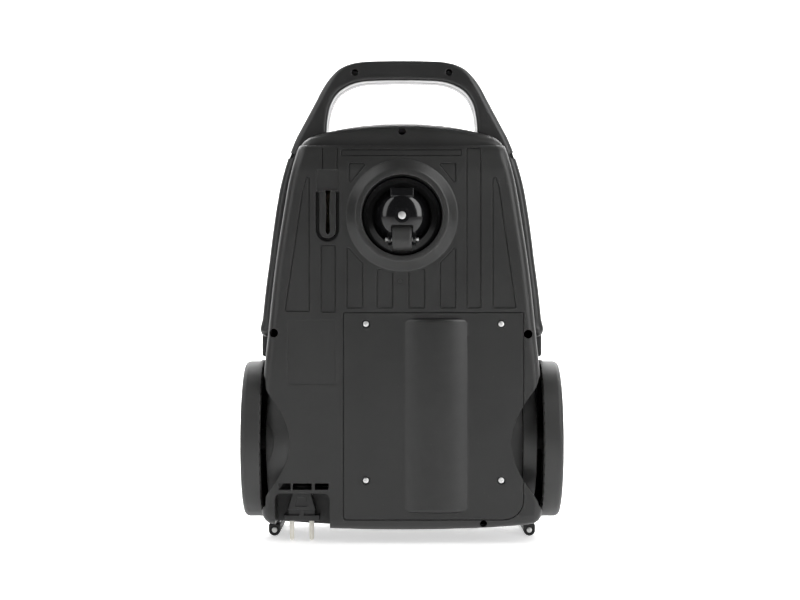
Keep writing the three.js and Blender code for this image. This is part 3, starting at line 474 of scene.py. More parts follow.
def slot_outline(half, grow=0.0, top=None):
    s = SLOT
    centre_z = s["bottom"] + s["half"]
    arc = [(s["x"] + (half + grow) * math.cos(math.radians(a)),
            centre_z + (half + grow) * math.sin(math.radians(a)))
           for a in range(180, 361, 10)]
    high = (s["top"] if top is None else top) + grow
    return arc + [(s["x"] + half + grow, high), (s["x"] - half - grow, high)]


def parking_slot(grow=0.0):
    return prism(slot_outline(SLOT["half"], grow), "y", -20, SLOT["depth"] + grow)


def bites(grow=0.0):
    return [wheel_dish(1, grow), left_dish(grow), caster_well(grow), plug_dock(grow), parking_slot(grow)]


def caster_collar():
    profile = [(53.6, 2), (53.4, 0), (52.6, -0.5), (51.6, -1.1), (45.4, -6.6), (44.4, -7.4), (43.2, -7.8),
               (39.4, -7.8),
               (38.6, -7.4), (38.4, -6.6), (38.4, 2)]
    return lathe(profile, "y", CASTER, 160)


def motor_tunnel(inset=0.0):
    m = MOTOR
    r, low, high = m["radius"] - inset, m["bottom"] + inset, m["top"] - inset
    profile = [(0, low), (r - 4, low), (r - 1.2, low + 1.2), (r, low + 4), (r, high - 4),
               (r - 1.2, high - 1.2), (r - 4, high),
               (0, high)]
    return lathe(profile, "z", (m["x"], m["y"], 0), 256)


def cover_outline(grow=0.0):
    c, g = COVER, grow
    corners = [(c["left"] - g, c["bottom"] - g), (c["right"] + g, c["bottom"] - g),
               (c["right"] + g, c["top"] + g),
               (c["left"] - g, c["top"] + g)]
    return rounded(corners, [3 + g, c["corner"] + g, 1.5 + g, 1.5 + g], 10)


def half_space(low_y, high_y, low_z=-40, high_z=460):
    return block(-220, 220, low_y, high_y, low_z, high_z)


# ---------------------------------------------------------------- the ribs and marks of the underside
PANELS_FLAT = [
    [(-111.4, 221.5), (-87.9, 221.5), (-87.9, 349.3), (-90.8, 349.6), (-94.4, 336.9)],
    [(86.3, 224.8), (108.8, 224.8), (92.6, 338.6), (89.2, 349.6), (86.3, 348)],
    [(-52.4, 224.8), (-37.1, 224.8), (-37.1, 267.6), (-50.4, 281.8), (-52.4, 281.8)],
    [(36.1, 224.8), (51.3, 224.8), (51.3, 281.8), (49.3, 281.8), (36.1, 267.6)],
    [(-23.8, 224.8), (-8.6, 224.8), (-8.6, 262), (-23.8, 262)],
    [(6.3, 224.8), (21.9, 224.8), (21.9, 262), (6.3, 262)],
    [(-77.0, 220.8), (-63.2, 220.8), (-63.2, 284.6), (-77.0, 284.6)],
    [(-50.4, 341.7), (-33.3, 362.6), (-50.4, 362.6)],
    [(51.3, 341.7), (51.3, 362.6), (34.2, 362.6)],
]
PANELS_SHOULDER = [
    [(-58.0, 369.7), (57.0, 369.7), (57.0, 375.9), (-58.0, 375.9)],
    [(61.5, 224.8), (75.2, 224.8), (75.2, 377.4), (61.5, 377.4)],
]
RECESS_STEPS = [(0.4, 0.35), (0.1, 0.9)]  # how much wider than the drawn outline, and how deep
LINE_WIDTH, LINE_DEPTH = 0.75, 1.7  # the fine groove along each panel's edge


def panel_recesses():
    """Shallow panels sunk into the underside, with a fine groove along their edges, that follow its curve."""
    outlines = [rounded(p, 1.6, 4) for p in PANELS_FLAT + PANELS_SHOULDER]
    channel = box_outline(-81.2, -60.4, 337.2, 355.9, 1.0)
    ring = rod(CASTER_CLEAR, -40, 40, "y", CASTER, 96)
    tools = []
    for grow, depth in RECESS_STEPS:
        prisms = [prism(offset(p, grow), "y", -12, 24) for p in outlines + [channel]]
        tools.append(cut(gather(prisms), copy(ring), body_block(depth)))
    lines = [cut(prism(offset(p, 0.1), "y", -12, 24),
                 prism(offset(p, 0.1 - LINE_WIDTH), "y", -20, 30)) for p in outlines]
    lines += [prism(box_outline(x - 0.5, x + 0.5, 357, 377.2), "y", -12, 24) for x in (-75.6, -61.8)]
    tools.append(cut(gather(lines), ring, body_block(LINE_DEPTH)))
    return tools


def screw_hole(x, z, radius, depth):
    return rod(radius, -14.0, depth, "y", (x, 0, z), 40)


def cord_slots():
    slots = [(-117.2, -105.8), (-103.9, -85.8), (-82.9, -69.6)]
    return gather([prism(box_outline(a, b, 52.0, 58.2, 0.5), "y", -6, 3.6) for a, b in slots])


def label_pad():
    return cut(prism(box_outline(-109.0, -62.8, 151.8, 213.4, 2.0), "y", -4, 12), body_block(0.22))


def build_shell():
    """The whole casing as one shell; the pieces are cut from it."""
    outer = join(body_block(0), motor_tunnel(0), caster_collar())
    outer = cut(outer, *bites())
    inner = join(body_block(WALL, fine=False), motor_tunnel(WALL))
    inner = cut(inner, *bites(WALL))
    return cut(outer, inner)


shell = build_shell()


def hub_lens():
    """A shallow lens-shaped step on the drum behind the left wheel."""
    circle = [(-154.8 + 32.5 * math.cos(a), 97 + 32.5 * math.sin(a)) for a in np.linspace(0, 2 * math.pi, 72,
                                                                                          endpoint=False)]
    drum = GROOVE[-1]["drum"] - 1.2
    deep_r, deep_x = GROOVE[-1]["deep_r"] - 1.2, GROOVE[-1]["deep_x"]
    keep = lathe([(0, -140), (drum, -140), (drum, -ARCH_X), (deep_r, -deep_x), (0, -deep_x)], "x", AXLE, 96)
    return cut(both(prism(circle, "y", -6, 26), block(-160, -112, -10, 30, 40, 150)), keep)


def bottom_casing():
    gap = 0.75
    lower = both(copy(shell), half_space(-30, PARTING_Y - 0.35, -40, LIP_Z - 0.35))
    lower = cut(lower, prism(cover_outline(gap), "y", -30, 45))
    ledge = both(cut(prism(cover_outline(4), "y", 4.0, 7), prism(cover_outline(-6), "y", 0, 12)),
                 body_block(1, fine=False))
    rim = both(cut(prism(cover_outline(4), "y", 1.6, 7), prism(cover_outline(gap), "y", -5, 12)),
               body_block(1, fine=False))
    lower = join(lower, cut(ledge, wheel_dish(1, WALL + 0.3)), cut(rim, wheel_dish(1, 0.2)))
    plateau = prism(slot_outline(SLOT["inner"], top=336.2), "y", 1.3, 13)
    slit = rounded([(-72.9, 336.5), (-68.2, 336.5), (-69.2, 318), (-68.4, 297.5), (-70.6, 294.2),
                    (-72.8, 297.5), (-72.0, 318)],
                   [0, 0, 3, 0.8, 0.8, 0.8, 3])
    lower = join(lower, bevelled(plateau, 0.7, 2))
    mark = tube(2.0, 2.7, -3, 0.35, "y", (-1.4, 0, 250.5), 40)
    holes = [screw_hole(-122, 201, 4.2, 10), screw_hole(120, 200, 4.2, 10), screw_hole(77.5, 19.5, 3.5, 12)]
    lower = cut(lower, *panel_recesses(), label_pad(), prism(slit, "y", -6, 26), mark, *holes, cord_slots(),
                hub_lens(),
                rod(7, DOCK["top"] - 4, DOCK["top"] + 8, "z", (PLUG["x"], PLUG["y"], 0), 48))
    axles = gather([rod(13, min(s * 106, s * 129.4), max(s * 106, s * 129.4), "x", AXLE, 64) for s in (1,
                                                                                                       -1)])
    seats = gather([block(s * FOOT["x"] - 5, s * FOOT["x"] + 5, 72, PARTING_Y - 0.4, FOOT["height"] + 0.3,
                          32) for s in (1, -1)])
    stem = rod(12, WELL_FLOOR - 0.5, 50, "y", CASTER, 64)
    return join(lower, axles, seats, stem)


def motor_cover():
    slab = both(copy(shell), prism(cover_outline(0), "y", -30, 45))
    plate = cut(slab, cut(block(-60, 120, COVER["thick"], 60, 0, 250), wheel_dish(1, WALL)))
    bosses = gather([rod(5.2, 1.0, 2.9, "y", (x, 0, z), 48) for x, z in COVER_SCREWS])
    pocket = [(0, -6), (4.6, -6), (4.3, 0.0), (3.95, 0.4), (3.85, 2.3), (2.3, 2.3), (2.3, 1.15), (0, 1.15)]
    bores = gather([lathe(pocket, "y", (x, 0, z), 48) for x, z in COVER_SCREWS])
    shanks = gather([rod(1.9, -6, 30, "y", (x, 0, z), 24) for x, z in COVER_SCREWS])
    return cut(join(plate, bosses), bores, shanks)


# ---------------------------------------------------------------- the top: casing, lid and what is let into them
def lid_outline(grow=0.0):
    l, g = LID, grow
    half = curve([(0, l["rear"] - g), (l["half_rear"] - 8, l["rear"] - g)],
                 [(l["half_rear"] - 8, l["rear"] - g), (l["half_rear"] + g, l["rear"] - g),
                  (l["half_rear"] + g, l["rear"] + 8)],
                 [(l["half_rear"] + g, l["rear"] + 8), (l["half_front"] + 4 + g, 350)],
                 [(l["half_front"] + 4 + g, 350), (l["half_front"] - 6 + g, 373 + g), (60, 377.5 + g)],
                 [(60, 377.5 + g), (30, l["front"] + g), (0, l["front"] + g)])
    return mirrored(half)


def high(outline, start=100.0):
    return prism(outline, "y", start, 275)


ROOF_AT_INLET = 185.0
INLET_MATRIX = (Matrix.Translation((0, (ROOF_AT_INLET - DEPTH_CENTRE) * MM, INLET["z"] * MM))
                @ Matrix.Rotation(INLET["tilt"], 4, "X"))


def on_inlet(profile, segments=96):
    """A profile turned round the hose inlet's axis, with its heights counted from the lid."""
    made = lathe(profile, "y", (0, DEPTH_CENTRE, 0), segments)
    made.data.transform(INLET_MATRIX)
    return made


def skin(outset, inset):
    return cut(body_block(-outset), body_block(inset, fine=False))


def pedal_outline(side, grow=0.0):
    a, b, low, top = PEDAL
    x0, x1 = sorted((side * a, side * b))
    return box_outline(x0, x1, low, top, 7, grow)


def hinge_rod(radius, start, end):
    return rod(radius, start, end, "x", (0, LID_AXIS["y"], LID_AXIS["z"]), 48, 0.4)


def fender(side):
    """The mudguard behind a wheel's back half."""
    f = FENDER
    x0, x1 = sorted((side * f["root"], side * f["tip"]))
    ring = bevelled(tube(f["inner"], f["outer"], x0, x1, "x", AXLE, 128), 1.0, 3, 60)
    return both(ring, block(-200, 200, PARTING_Y, 260, FOOT["height"] + 0.4, 300))


def top_casing():
    upper = both(copy(shell), join(half_space(PARTING_Y, 275), half_space(-30, PARTING_Y + 1, LIP_Z)))
    openings = [high(lid_outline(0.6)), high([(x, z + 1) for x, z in lid_outline(0.6)]),
                high(box_outline(*EXHAUST, 6, 0.5)), high(pedal_outline(1, 0.5)),
                high(pedal_outline(-1, 0.5)),
                prism(box_outline(*LATCH, 4, 0.5), "y", 100, 275)]
    upper = cut(upper, *openings)
    band = cut(both(high(lid_outline(4)), body_block(5.8, fine=False)), body_block(8, fine=False),
               high(lid_outline(-7)))
    wall = cut(both(high(lid_outline(4)), body_block(1, fine=False)), body_block(8, fine=False),
               high(lid_outline(0.6)))
    clear = on_inlet([(0, -40), (INLET["flange"] + 1, -40), (INLET["flange"] + 1, 30), (0, 30)])
    latch_clear = prism(box_outline(*LATCH, 4, 0.5), "y", 100, 275)
    upper = join(upper, cut(join(band, wall), clear, latch_clear))
    a = LID_AXIS
    relief = cut(rod(5, -a["outer"] - 1, a["outer"] + 1, "x", (0, a["y"], a["z"]), 48),
                 block(-a["inner"] - 0.3, a["inner"] + 0.3, 200, 250, 200, 230))
    upper = cut(upper, relief, rod(DIAL["radius"] + 0.5, 200, 275, "y", (0, 0, DIAL["z"]), 96),
                rod(3.8, 15, 46, "y", (0, 0, 395.5), 48))
    knuckle = join(rod(4, -a["inner"], a["inner"], "x", (0, a["y"], a["z"]), 48),
                   block(-a["inner"], a["inner"], a["y"] - 3.5, a["y"], a["z"] - 6, a["z"]))
    seat = [(PARTING_Y + 0.2, FOOT["height"] + 0.3), (FOOT["back"], FOOT["height"] + 0.3), (FOOT["back"], 20),
            (152, 48),
            (PARTING_Y + 0.2, 48)]
    seats = cut(gather([prism(rounded(seat, [0, 2, 6, 6, 0]), "x", s * FOOT["x"] - 5,
                              s * FOOT["x"] + 5) for s in (1, -1)]),
                wheel_dish(1), wheel_dish(-1))
    seats = join(seats, fender(1), fender(-1))
    return cut(join(upper, knuckle, seats), rod(2.3, -60, 60, "x", (0, a["y"], a["z"]), 24))


def lid():
    plate = both(skin(0, WALL), high(lid_outline(0)))
    hood_r = INLET["flange"]
    hood = on_inlet([(0, -9), (hood_r + 3, -9), (hood_r + 3, -1), (hood_r + 2.2, 1.4), (hood_r + 0.6, 2.4),
                     (0, 2.4)])
    hood = cut(hood, body_block(6, fine=False))
    a = LID_AXIS
    middle = rod(4.6, -a["inner"] - 0.35, a["inner"] + 0.35, "x", (0, a["y"], a["z"]), 48)
    knuckles = []
    for s in (1, -1):
        x0, x1 = sorted((s * (a["inner"] + 0.35), s * a["outer"]))
        knuckles.append(join(hinge_rod(4, x0, x1),
                             block(x0, x1, a["y"] - 4, a["y"], a["z"], LID["rear"] + 6)))
    made = join(cut(join(plate, hood), middle), *knuckles)
    return cut(made, on_inlet([(0, -60), (INLET["outer"] + 0.3, -60), (INLET["outer"] + 0.3, 40), (0, 40)]),
               high(box_outline(*WINDOW, 5, 0.3)), rod(2.2, -90, 90, "x", (0, a["y"], a["z"]), 24))


def inlet_collar():
    i = INLET
    return on_inlet([(i["bore"], -i["below"]), (i["outer"] - 3, -i["below"]), (i["outer"] - 1, -9),
                     (i["outer"], -8),
                     (i["outer"], 2.8), (i["flange"] - 1, 2.8), (i["flange"], 3.6), (i["flange"] - 0.4, 4.6),
                     (i["flange"] - 1.6, 5.1), (i["outer"] + 1.5, 5.6), (i["outer"], 7),
                     (i["outer"] - 1, i["above"] - 1.2),
                     (i["outer"] - 2, i["above"]), (i["bore"] + 1, i["above"]), (i["bore"], i["above"] - 1)],
                     128)


def pedal(side):
    cap = both(skin(3, 5), high(pedal_outline(side)))
    stem = block(side * 50 - 7, side * 50 + 7, 208, 229, 154, 164)
    cap = bevelled(cap, 0.9, 2)
    grooves = gather([prism(box_outline(*sorted((side * 22, side * 69)), z - 0.5, z + 0.5), "y", 150, 275)
                      for z in (134, 139, 144)])
    return join(cut(cap, cut(grooves, body_block(-2.2, fine=False))), stem)


def exhaust_grille():
    plate = both(skin(0, WALL), high(box_outline(*EXHAUST, 6)))
    slots = []
    for row in range(GRILLE_ROWS):
        z = EXHAUST[2] + 9 + row * GRILLE_PITCH
        for x0, x1 in GRILLE_COLUMNS:
            slots.append(prism(box_outline(x0, x1, z - 1.6, z + 1.6, 1.5), "y", 140, 275))
    return cut(plate, gather(slots))


def suction_dial():
    d = DIAL
    r = d["radius"]
    profile = [(0, d["start"]), (r, d["start"]), (r, d["end"] - 2), (r - 0.7, d["end"] - 0.6),
               (r - 2, d["end"]),
               (r - 5, d["end"]), (r - 6, d["end"] - 0.8), (0, d["end"] - 0.8)]
    knob = lathe(profile, "y", (0, 0, d["z"]), 96)
    grips = []
    for k in range(DIAL_GRIPS):
        a = 2 * math.pi * (k + 0.5) / DIAL_GRIPS
        at = ((r + 0.5) * math.cos(a), 0, d["z"] + (r + 0.5) * math.sin(a))
        grips.append(rod(1.0, d["start"] + 5, d["end"] + 2, "y", at, 12))
    pointer = prism(box_outline(-1.1, 1.1, d["z"] + 3, d["z"] + 10, 0.6), "y", d["end"] - 1.5, d["end"] + 2)
    return cut(knob, gather(grips), pointer)


def latch_button():
    return bevelled(both(skin(0, 9), prism(box_outline(*LATCH, 4), "y", 100, 275)), 0.7, 2)


# ---------------------------------------------------------------- carry handle
def handle_outline(low, corner):
    half = [(0, low)] + curve([(139 - corner, low), (139, low), (139, low + corner)]) + \
        [(139, 205), (136.7, 214)] + \
        curve([(136.7, 214), (134.8, 238), (129.9, 271.5)], [(129.9, 271.5), (125.4, 312), (120, 340.5)],
              [(120, 340.5), (114, 369), (102.8, 393)], [(102.8, 393), (93, 411), (82.7, 430.3)],
              [(82.7, 430.3), (75, 447), (64.6, 456.7)], [(64.6, 456.7), (55, 465.5), (34.3, 466.6)],
              [(34.3, 466.6), (18, 467.2), (0, 467.2)])[1:]
    return mirrored(half)


def handle_opening():
    half = [(0, 380), (73.6, 380)] + curve([(73.6, 396), (73.4, 408), (70.6, 420)],
                                           [(70.6, 420), (67, 432), (58.7, 438)],
                                           [(58.7, 438), (47, 446.3), (30, 446.6)],
                                           [(30, 446.6), (15, 447.3), (0, 447.3)])
    return mirrored(half)


def rounded_front(outline, radius, front, back):
    """An outline pushed along y whose front edge is rounded; a negative radius flares it, for an opening."""
    rings = []
    for turn in np.linspace(0, math.pi / 2, 10):
        inset = radius * (1 - math.sin(turn))
        y = front + abs(radius) * (1 - math.cos(turn))
        if not rings:
            rings.append([(u, front - 20, v) for u, v in offset(outline, -inset)])
        rings.append([(u, y, v) for u, v in offset(outline, -inset)])
    rings.append([(u, back, v) for u, v in outline])
    return loft(rings)


def handle_half(lower):
    h = HANDLE
    gap = 0.15
    if lower:
        strip = cut(rounded_front(handle_outline(196, 9), 7.0, h["front"], 160),
                    rounded_front(handle_opening(), -4.0, h["front"], 170))
    else:
        strip = cut(prism(handle_outline(176, 3), "y", 40, 160), prism(handle_opening(), "y", 30, 170))
    strip = cut(strip, prism(body_outline(0.35), "y", 20, 170),
                rod(FENDER["inner"], -200, 200, "x", AXLE, 128))
    split = [(h["split"], 160), (h["split"], 400), (68, 475)]
    if lower:
        side = [(h["front"], 160), (h["front"], 440), (h["front"] + 3, 475)]
        side += [(y - gap, z) for y, z in reversed(split)]
    else:
        side = [(y + gap, z) for y, z in split]
        side += curve([(84, 475), (86, 462), (96, 440)], [(96, 440), (110, 420), (118, 399)],
                      [(118, 399), (119, 388), (112, 372)]) + [(h["back"], 160)]
    part = soften(both(strip, prism(side, "x", -200, 200)), 1.15, 4)
    if lower:
        holes = [(-46, 454.9), (46, 454.9), (-108.6, 374), (108.6, 374)]
        part = cut(part, *[rod(3.4, 40, 72, "y", (x, 0, z), 48) for x, z in holes])
    return part


# ---------------------------------------------------------------- wheels and caster
def sided(profile, side):
    return [(r, side * x) for r, x in profile]


TYRE_NOTCHES = 48  # small notches round the tread's inner edge
WHEEL_RIBS = 10


def about_axle(angle):
    centre = Vector((0, (AXLE[1] - DEPTH_CENTRE) * MM, AXLE[2] * MM))
    return Matrix.Translation(centre) @ Matrix.Rotation(angle, 4, "X")


def tyre(side):
    profile = [(66.05, 134.6), (73.8, 134.3), (75.2, 134.6), (76.0, 135.6), (76.0, 148.6), (75.7, 150.2),
               (74.8, 151.8),
               (73.4, 152.9), (71.4, 153.4), (68.0, 153.2), (66.05, 152.7)]
    made = lathe(sided(profile, side), "x", AXLE, 192)
    notches = []
    for k in range(TYRE_NOTCHES):
        x0, x1 = sorted((side * 132, side * 135.4))
        notch = block(x0, x1, DEPTH_CENTRE - 1.3, DEPTH_CENTRE + 1.3, 73.6, 80)
        notch.data.transform(about_axle(2 * math.pi * k / TYRE_NOTCHES))
        notches.append(notch)
    return cut(made, gather(notches))


def wheel_disc(side):
    profile = [(5.25, 131.7), (11, 131.7), (11, 147), (13, 148.6), (60, 148.6), (62.7, 147), (62.7, 137),
               (65.7, 137),
               (65.7, 152.2), (64.8, 152.9), (62.5, 153.0), (61.6, 152.2), (60.6, 152.7), (40, 152.9),
               (26, 153.2),
               (19.4, 153.6), (18.6, 153.2), (18.3, 151.6), (5.25, 151.6)]
    disc = lathe(sided(profile, side), "x", AXLE, 128)
    ribs = []
    for k in range(WHEEL_RIBS):
        x0, x1 = sorted((side * 139, side * 150))
        rib = block(x0, x1, DEPTH_CENTRE - 0.9, DEPTH_CENTRE + 0.9, 10.5, 64)
        rib.data.transform(about_axle(2 * math.pi * k / WHEEL_RIBS))
        ribs.append(rib)
    return join(disc, gather(ribs))


def hub_cap(side):
    profile = [(0, 152), (17.9, 152), (17.9, 153.0), (17.2, 153.6), (13, 154.1), (7, 154.5), (0, 154.7)]
    return lathe(sided(profile, side), "x", AXLE, 96)


def phillips(at, y, radius, depth):
    """The cross-shaped recess of a screw head, to cut from it."""
    arm = radius * 0.22
    cross = [(arm, radius), (-arm, radius), (-arm, arm), (-radius, arm), (-radius, -arm), (-arm, -arm),
             (-arm, -radius),
             (arm, -radius), (arm, -arm), (radius, -arm), (radius, arm), (arm, arm)]
    return prism([(at[0] + u, at[1] + v) for u, v in cross], "y", y - 1, y + depth)


def screw(x, y, z, head, shank, length, height=1.4):
    profile = [(0, y), (head * 0.72, y + 0.05), (head * 0.93, y + 0.3), (head, y + 0.7), (head, y + height),
               (shank, y + height),
               (shank, y + length), (0, y + length)]
    return cut(lathe(profile, "y", (x, 0, z), 48), phillips((x, z), y, head * 0.62, 0.9))


def caster_dome():
    c = CASTER
    crown = [(0, -4.6), (9, -3.9), (14, -2.7), (18, -1.0), (21, 1.0), (23.5, 3.6), (25.8, 7.5), (28.5, 15)]
    dome = [(r, float(smooth_between(crown, r))) for r in np.concatenate([[0], np.linspace(1, 28.5, 40)])]
    dome += [(28.5, 19.5), (36.9, 20.2), (37.4, 20.8), (37.4, 23), (6, 24), (6, 46), (0, 46)]
    body = lathe(dome, "y", c, 160)
    roller_z = c[2] - TRAIL
    ears = []
    for s in (1, -1):
        x0, x1 = sorted((s * 10.4, s * 13.2))
        ears.append(join(rod(5, x0, x1, "x", (0, 1, roller_z), 48),
                         block(x0, x1, 1, 20, roller_z - 5, roller_z + 7)))
    slot = prism(box_outline(-10.4, 10.4, 255, c[2] - 9.3, 1.2), "y", -20, 15.5)
    body = join(cut(body, slot), *ears)
    tab = bevelled(block(-11.2, 11.2, -0.6, 12, c[2] + 17.8, c[2] + 26.6), 1.0, 3)
    washer = tube(4.6, 7.2, -5.0, -2, "y", c, 64)
    body = join(body, tab, washer)
    return cut(body, rod(2.1, -20, 20, "x", (0, 1, roller_z), 32), rod(4.6, -10, -1.5, "y", c, 48))


def caster_pin():
    z = CASTER[2] - TRAIL
    profile = [(0, -16), (1.7, -16), (2.0, -15.7), (2.0, -14.6), (1.35, -14.3), (1.35, -13.7), (2.0, -13.4),
               (2.0, 13.4),
               (1.35, 13.7), (1.35, 14.3), (2.0, 14.6), (2.0, 15.7), (1.7, 16), (0, 16)]
    return lathe(profile, "x", (0, 1, z), 40)


def caster_roller():
    z = CASTER[2] - TRAIL
    profile = [(2.2, -9.5), (10.6, -9.5), (11.5, -9.1), (12.1, -8.0), (12.2, -6.5), (12.2, 6.5), (12.1, 8.0),
               (11.5, 9.1),
               (10.6, 9.5), (2.2, 9.5)]
    return lathe(profile, "x", (0, 1, z), 96)


# ---------------------------------------------------------------- feet
def foot(side):
    f = FOOT
    half = [(f["half"] * math.sin(a), f["half"] * (1 - math.cos(a))) for a in np.linspace(0, math.pi / 2, 14)]
    outline = mirrored(half + [(f["half"], f["height"] - 0.8), (f["half"] - 0.8, f["height"]),
                               (0, f["height"])])
    rail = prism([(side * f["x"] + u, v) for u, v in outline], "y", f["front"], f["back"])
    rail = bevelled(rail, 0.6, 2, 60)
    at = (side * f["x"], 0, 5.6)
    return cut(rail, rod(4.0, f["front"] - 2, f["front"] + 1.6, "y", at, 48),
               rod(1.8, f["front"] - 2, f["front"] + 16, "y", at, 24))


# ---------------------------------------------------------------- plug, cord and reel
def moved(outline, x):
    return [(x + u, v) for u, v in outline]


def plug_body():
    p = PLUG
    x, face = p["x"], p["face"]
    upper = mirrored([(0, face + 10.6), (13.8, face + 10.6), (13.4, face + 12), (9.1, face + 27.2),
                      (8.4, face + 27.8),
                      (0, face + 27.8)])
    band = mirrored([(0, face + 5.6), (12.6, face + 5.6), (12.6, face + 10.8), (0, face + 10.8)])
    flange = mirrored([(0, face), (16.8, face), (17.5, face + 0.8), (17.5, face + 5.2), (16.8, face + 6),
                       (0, face + 6)])
    body = bevelled(prism(moved(upper, x), "y", p["y"] - 7, p["y"] + 7), 1.5, 4, 50)
    body = join(body, prism(moved(band, x), "y", p["y"] - 4.6, p["y"] + 4.6),
                bevelled(prism(moved(flange, x), "y", p["y"] - 6.4, p["y"] + 6.4), 1.2, 3, 50),
                block(x - 2.2, x + 2.2, p["y"] - 6.6, p["y"] + 5, face + 5, face + 12))
    thumb = prism([(x - 6.4, face + 14), (x + 6.4, face + 14), (x + 4.4, face + 23.5),
                   (x - 4.4, face + 23.5)], "y",
                  p["y"] - 12, p["y"] - 6.4)
    holes = [rod(p["pin_r"] + 0.3, face - 3, face + 6, "z", (x + k * p["spacing"] / 2, p["y"], 0),
                 32) for k in (-1, 1)]
    return cut(body, bevelled(thumb, 0.8, 3), *holes,
               rod(p["cord_r"] + 0.3, face + 20, face + 40, "z", (x, p["y"], 0), 32))


def plug_pin(k):
    p = PLUG
    low = p["face"] - p["pin_length"]
    profile = [(0, low), (0.8, low), (1.7, low + 0.5), (2.2, low + 1.2), (p["pin_r"], low + 2.2),
               (p["pin_r"], p["face"] + 5.6),
               (0, p["face"] + 5.6)]
    return lathe(profile, "z", (p["x"] + k * p["spacing"] / 2, p["y"], 0), 48)


def cord_lead():
    p = PLUG
    rings = []
    for z in np.linspace(p["face"] + 20.6, REEL["z"], 24):
        rings.append([(p["x"] + p["cord_r"] * math.cos(a), p["y"] + p["cord_r"] * math.sin(a), z)
                      for a in np.linspace(0, 2 * math.pi, 20, endpoint=False)])
    return loft(rings)


def cord_winding():
    """The cord's turns on the reel: layers of rings, each a cord's width from the next."""
    r, cord = REEL, PLUG["cord_r"]
    rings = []
    radius = r["hub"] + cord + 0.3
    layer = 0
    while radius + cord <= r["winding"] + 0.2:
        first = r["left"] + r["flange"] + cord + 0.4 + (cord if layer % 2 else 0)
        x = first
        while x + cord <= r["right"] - r["flange"] - 0.3:
            points = [(radius + cord * math.cos(a), x + cord * math.sin(a)) for a in np.linspace(0,
                                                                                                 2 * math.pi,
                                                                                                 12,
                                                                                                 endpoint=False)]
            rings.append(lathe(points, "x", (0, r["y"], r["z"]), 64))
            x += 2 * cord
        radius += cord * math.sqrt(3)
        layer += 1
    return gather(rings)


def cord_guide():
    t = DOCK["top"]
    profile = [(4.2, t + 0.8), (4.8, t + 0.3), (6.2, t + 0.3), (6.6, t + 0.8), (6.6, t + 2.95),
               (10, t + 2.95), (10.5, t + 3.4),
               (10.5, t + 5.6), (10, t + 6), (6.4, t + 6.5), (5.4, t + 9), (4.2, t + 9)]
    return lathe(profile, "z", (PLUG["x"], PLUG["y"], 0), 64)


# ---------------------------------------------------------------- the dust bag
def dust_bag():
    """A folded paper bag, square-shouldered and a little slack, with creased pleats down its sides."""
    rings = []
    steps = 60
    for k in range(steps + 1):
        t = k / steps
        z = BAG["bottom"] + BAG["height"] * t
        front, back = BAG["front"], min(BAG["back"], 191 - 0.72 * (z - BAG["bottom"]))
        ease = math.sin(math.pi * t) ** 0.22  # fills quickly from each end
        half = (62 + 24 * ease) * (1 - 0.12 * t)
        mid, deep = 0.5 * (back + front), 0.5 * (back - front) * (0.55 + 0.45 * ease)
        ring = []
        for i in range(120):
            a = 2 * math.pi * i / 120
            ca, sa = math.cos(a), math.sin(a)
            u = math.copysign(abs(ca) ** 0.45, ca)
            v = math.copysign(abs(sa) ** 0.45, sa)
            pleat = 1 - 0.16 * math.exp(-(sa / 0.16) ** 2)
            crease = 1 + 0.012 * math.sin(7 * a + 9 * t) + 0.01 * math.sin(13 * a - 17 * t)
            ring.append((half * u * pleat * crease, mid + deep * v * crease, z))
        rings.append(ring)
    return soften(loft(rings), 1.8, 3)


# ---------------------------------------------------------------- fan and motor
def fan_rotor():
    m = (MOTOR["x"], MOTOR["y"], 0)
    hub = lathe([(0, 66), (3.8, 66), (4.1, 66.4), (4.1, 172), (50, 172), (50, 173.6), (14, 175.4), (9, 196),
                 (9, 203), (4, 205),
                 (0, 205)], "z", m, 96)
    shroud = lathe([(50, 188.6), (50, 190.2), (24, 203), (22.4, 203), (23, 201)], "z", m, 96)
    blades = []
    for k in range(9):
        rings = []
        for t in np.linspace(0, 1, 12):
            r = 12 + 37.5 * t
            a = 2 * math.pi * k / 9 + 0.9 * t
            top = 202 - 13 * max(0.0, (r - 22) / 28)
            n = (math.cos(a + 0.9), math.sin(a + 0.9))
            p = (m[0] + r * math.cos(a), m[1] + r * math.sin(a))
            rings.append([(p[0] + 0.5 * n[1], p[1] - 0.5 * n[0], 173),
                          (p[0] - 0.5 * n[1], p[1] + 0.5 * n[0], 173),
                          (p[0] - 0.5 * n[1], p[1] + 0.5 * n[0], top),
                          (p[0] + 0.5 * n[1], p[1] - 0.5 * n[0], top)])
        blades.append(loft(rings))
    return join(hub, shroud, *blades)


# ---------------------------------------------------------------- materials
def new_material(name):
    material = bpy.data.materials.new(name)
    material.use_nodes = True
    tree = material.node_tree
    return material, tree, tree.nodes["Principled BSDF"]


def node(tree, kind, inputs=(), **settings):
    made = tree.nodes.new(kind)
    for key, value in settings.items():
        setattr(made, key, value)
    for key, value in dict(inputs).items():
        if hasattr(value, "is_output"):
            tree.links.new(value, made.inputs[key])
        else:
            made.inputs[key].default_value = value
    return made


def ramp(tree, source, low, top, a=0.0, b=1.0):
    """The source from low to top, mapped to a to b."""
    inputs = {"Value": source, "From Min": low, "From Max": top, "To Min": a, "To Max": b}
    return node(tree, "ShaderNodeMapRange", inputs).outputs[0]


def mix(tree, factor, first, second):
    made = tree.nodes.new("ShaderNodeMix")
    made.data_type = "RGBA"
    for key, value in ((0, factor), (6, first), (7, second)):
        if hasattr(value, "is_output"):
            tree.links.new(value, made.inputs[key])
        else:
            made.inputs[key].default_value = value if key == 0 else (*value, 1)[:4]
    return made.outputs[2]


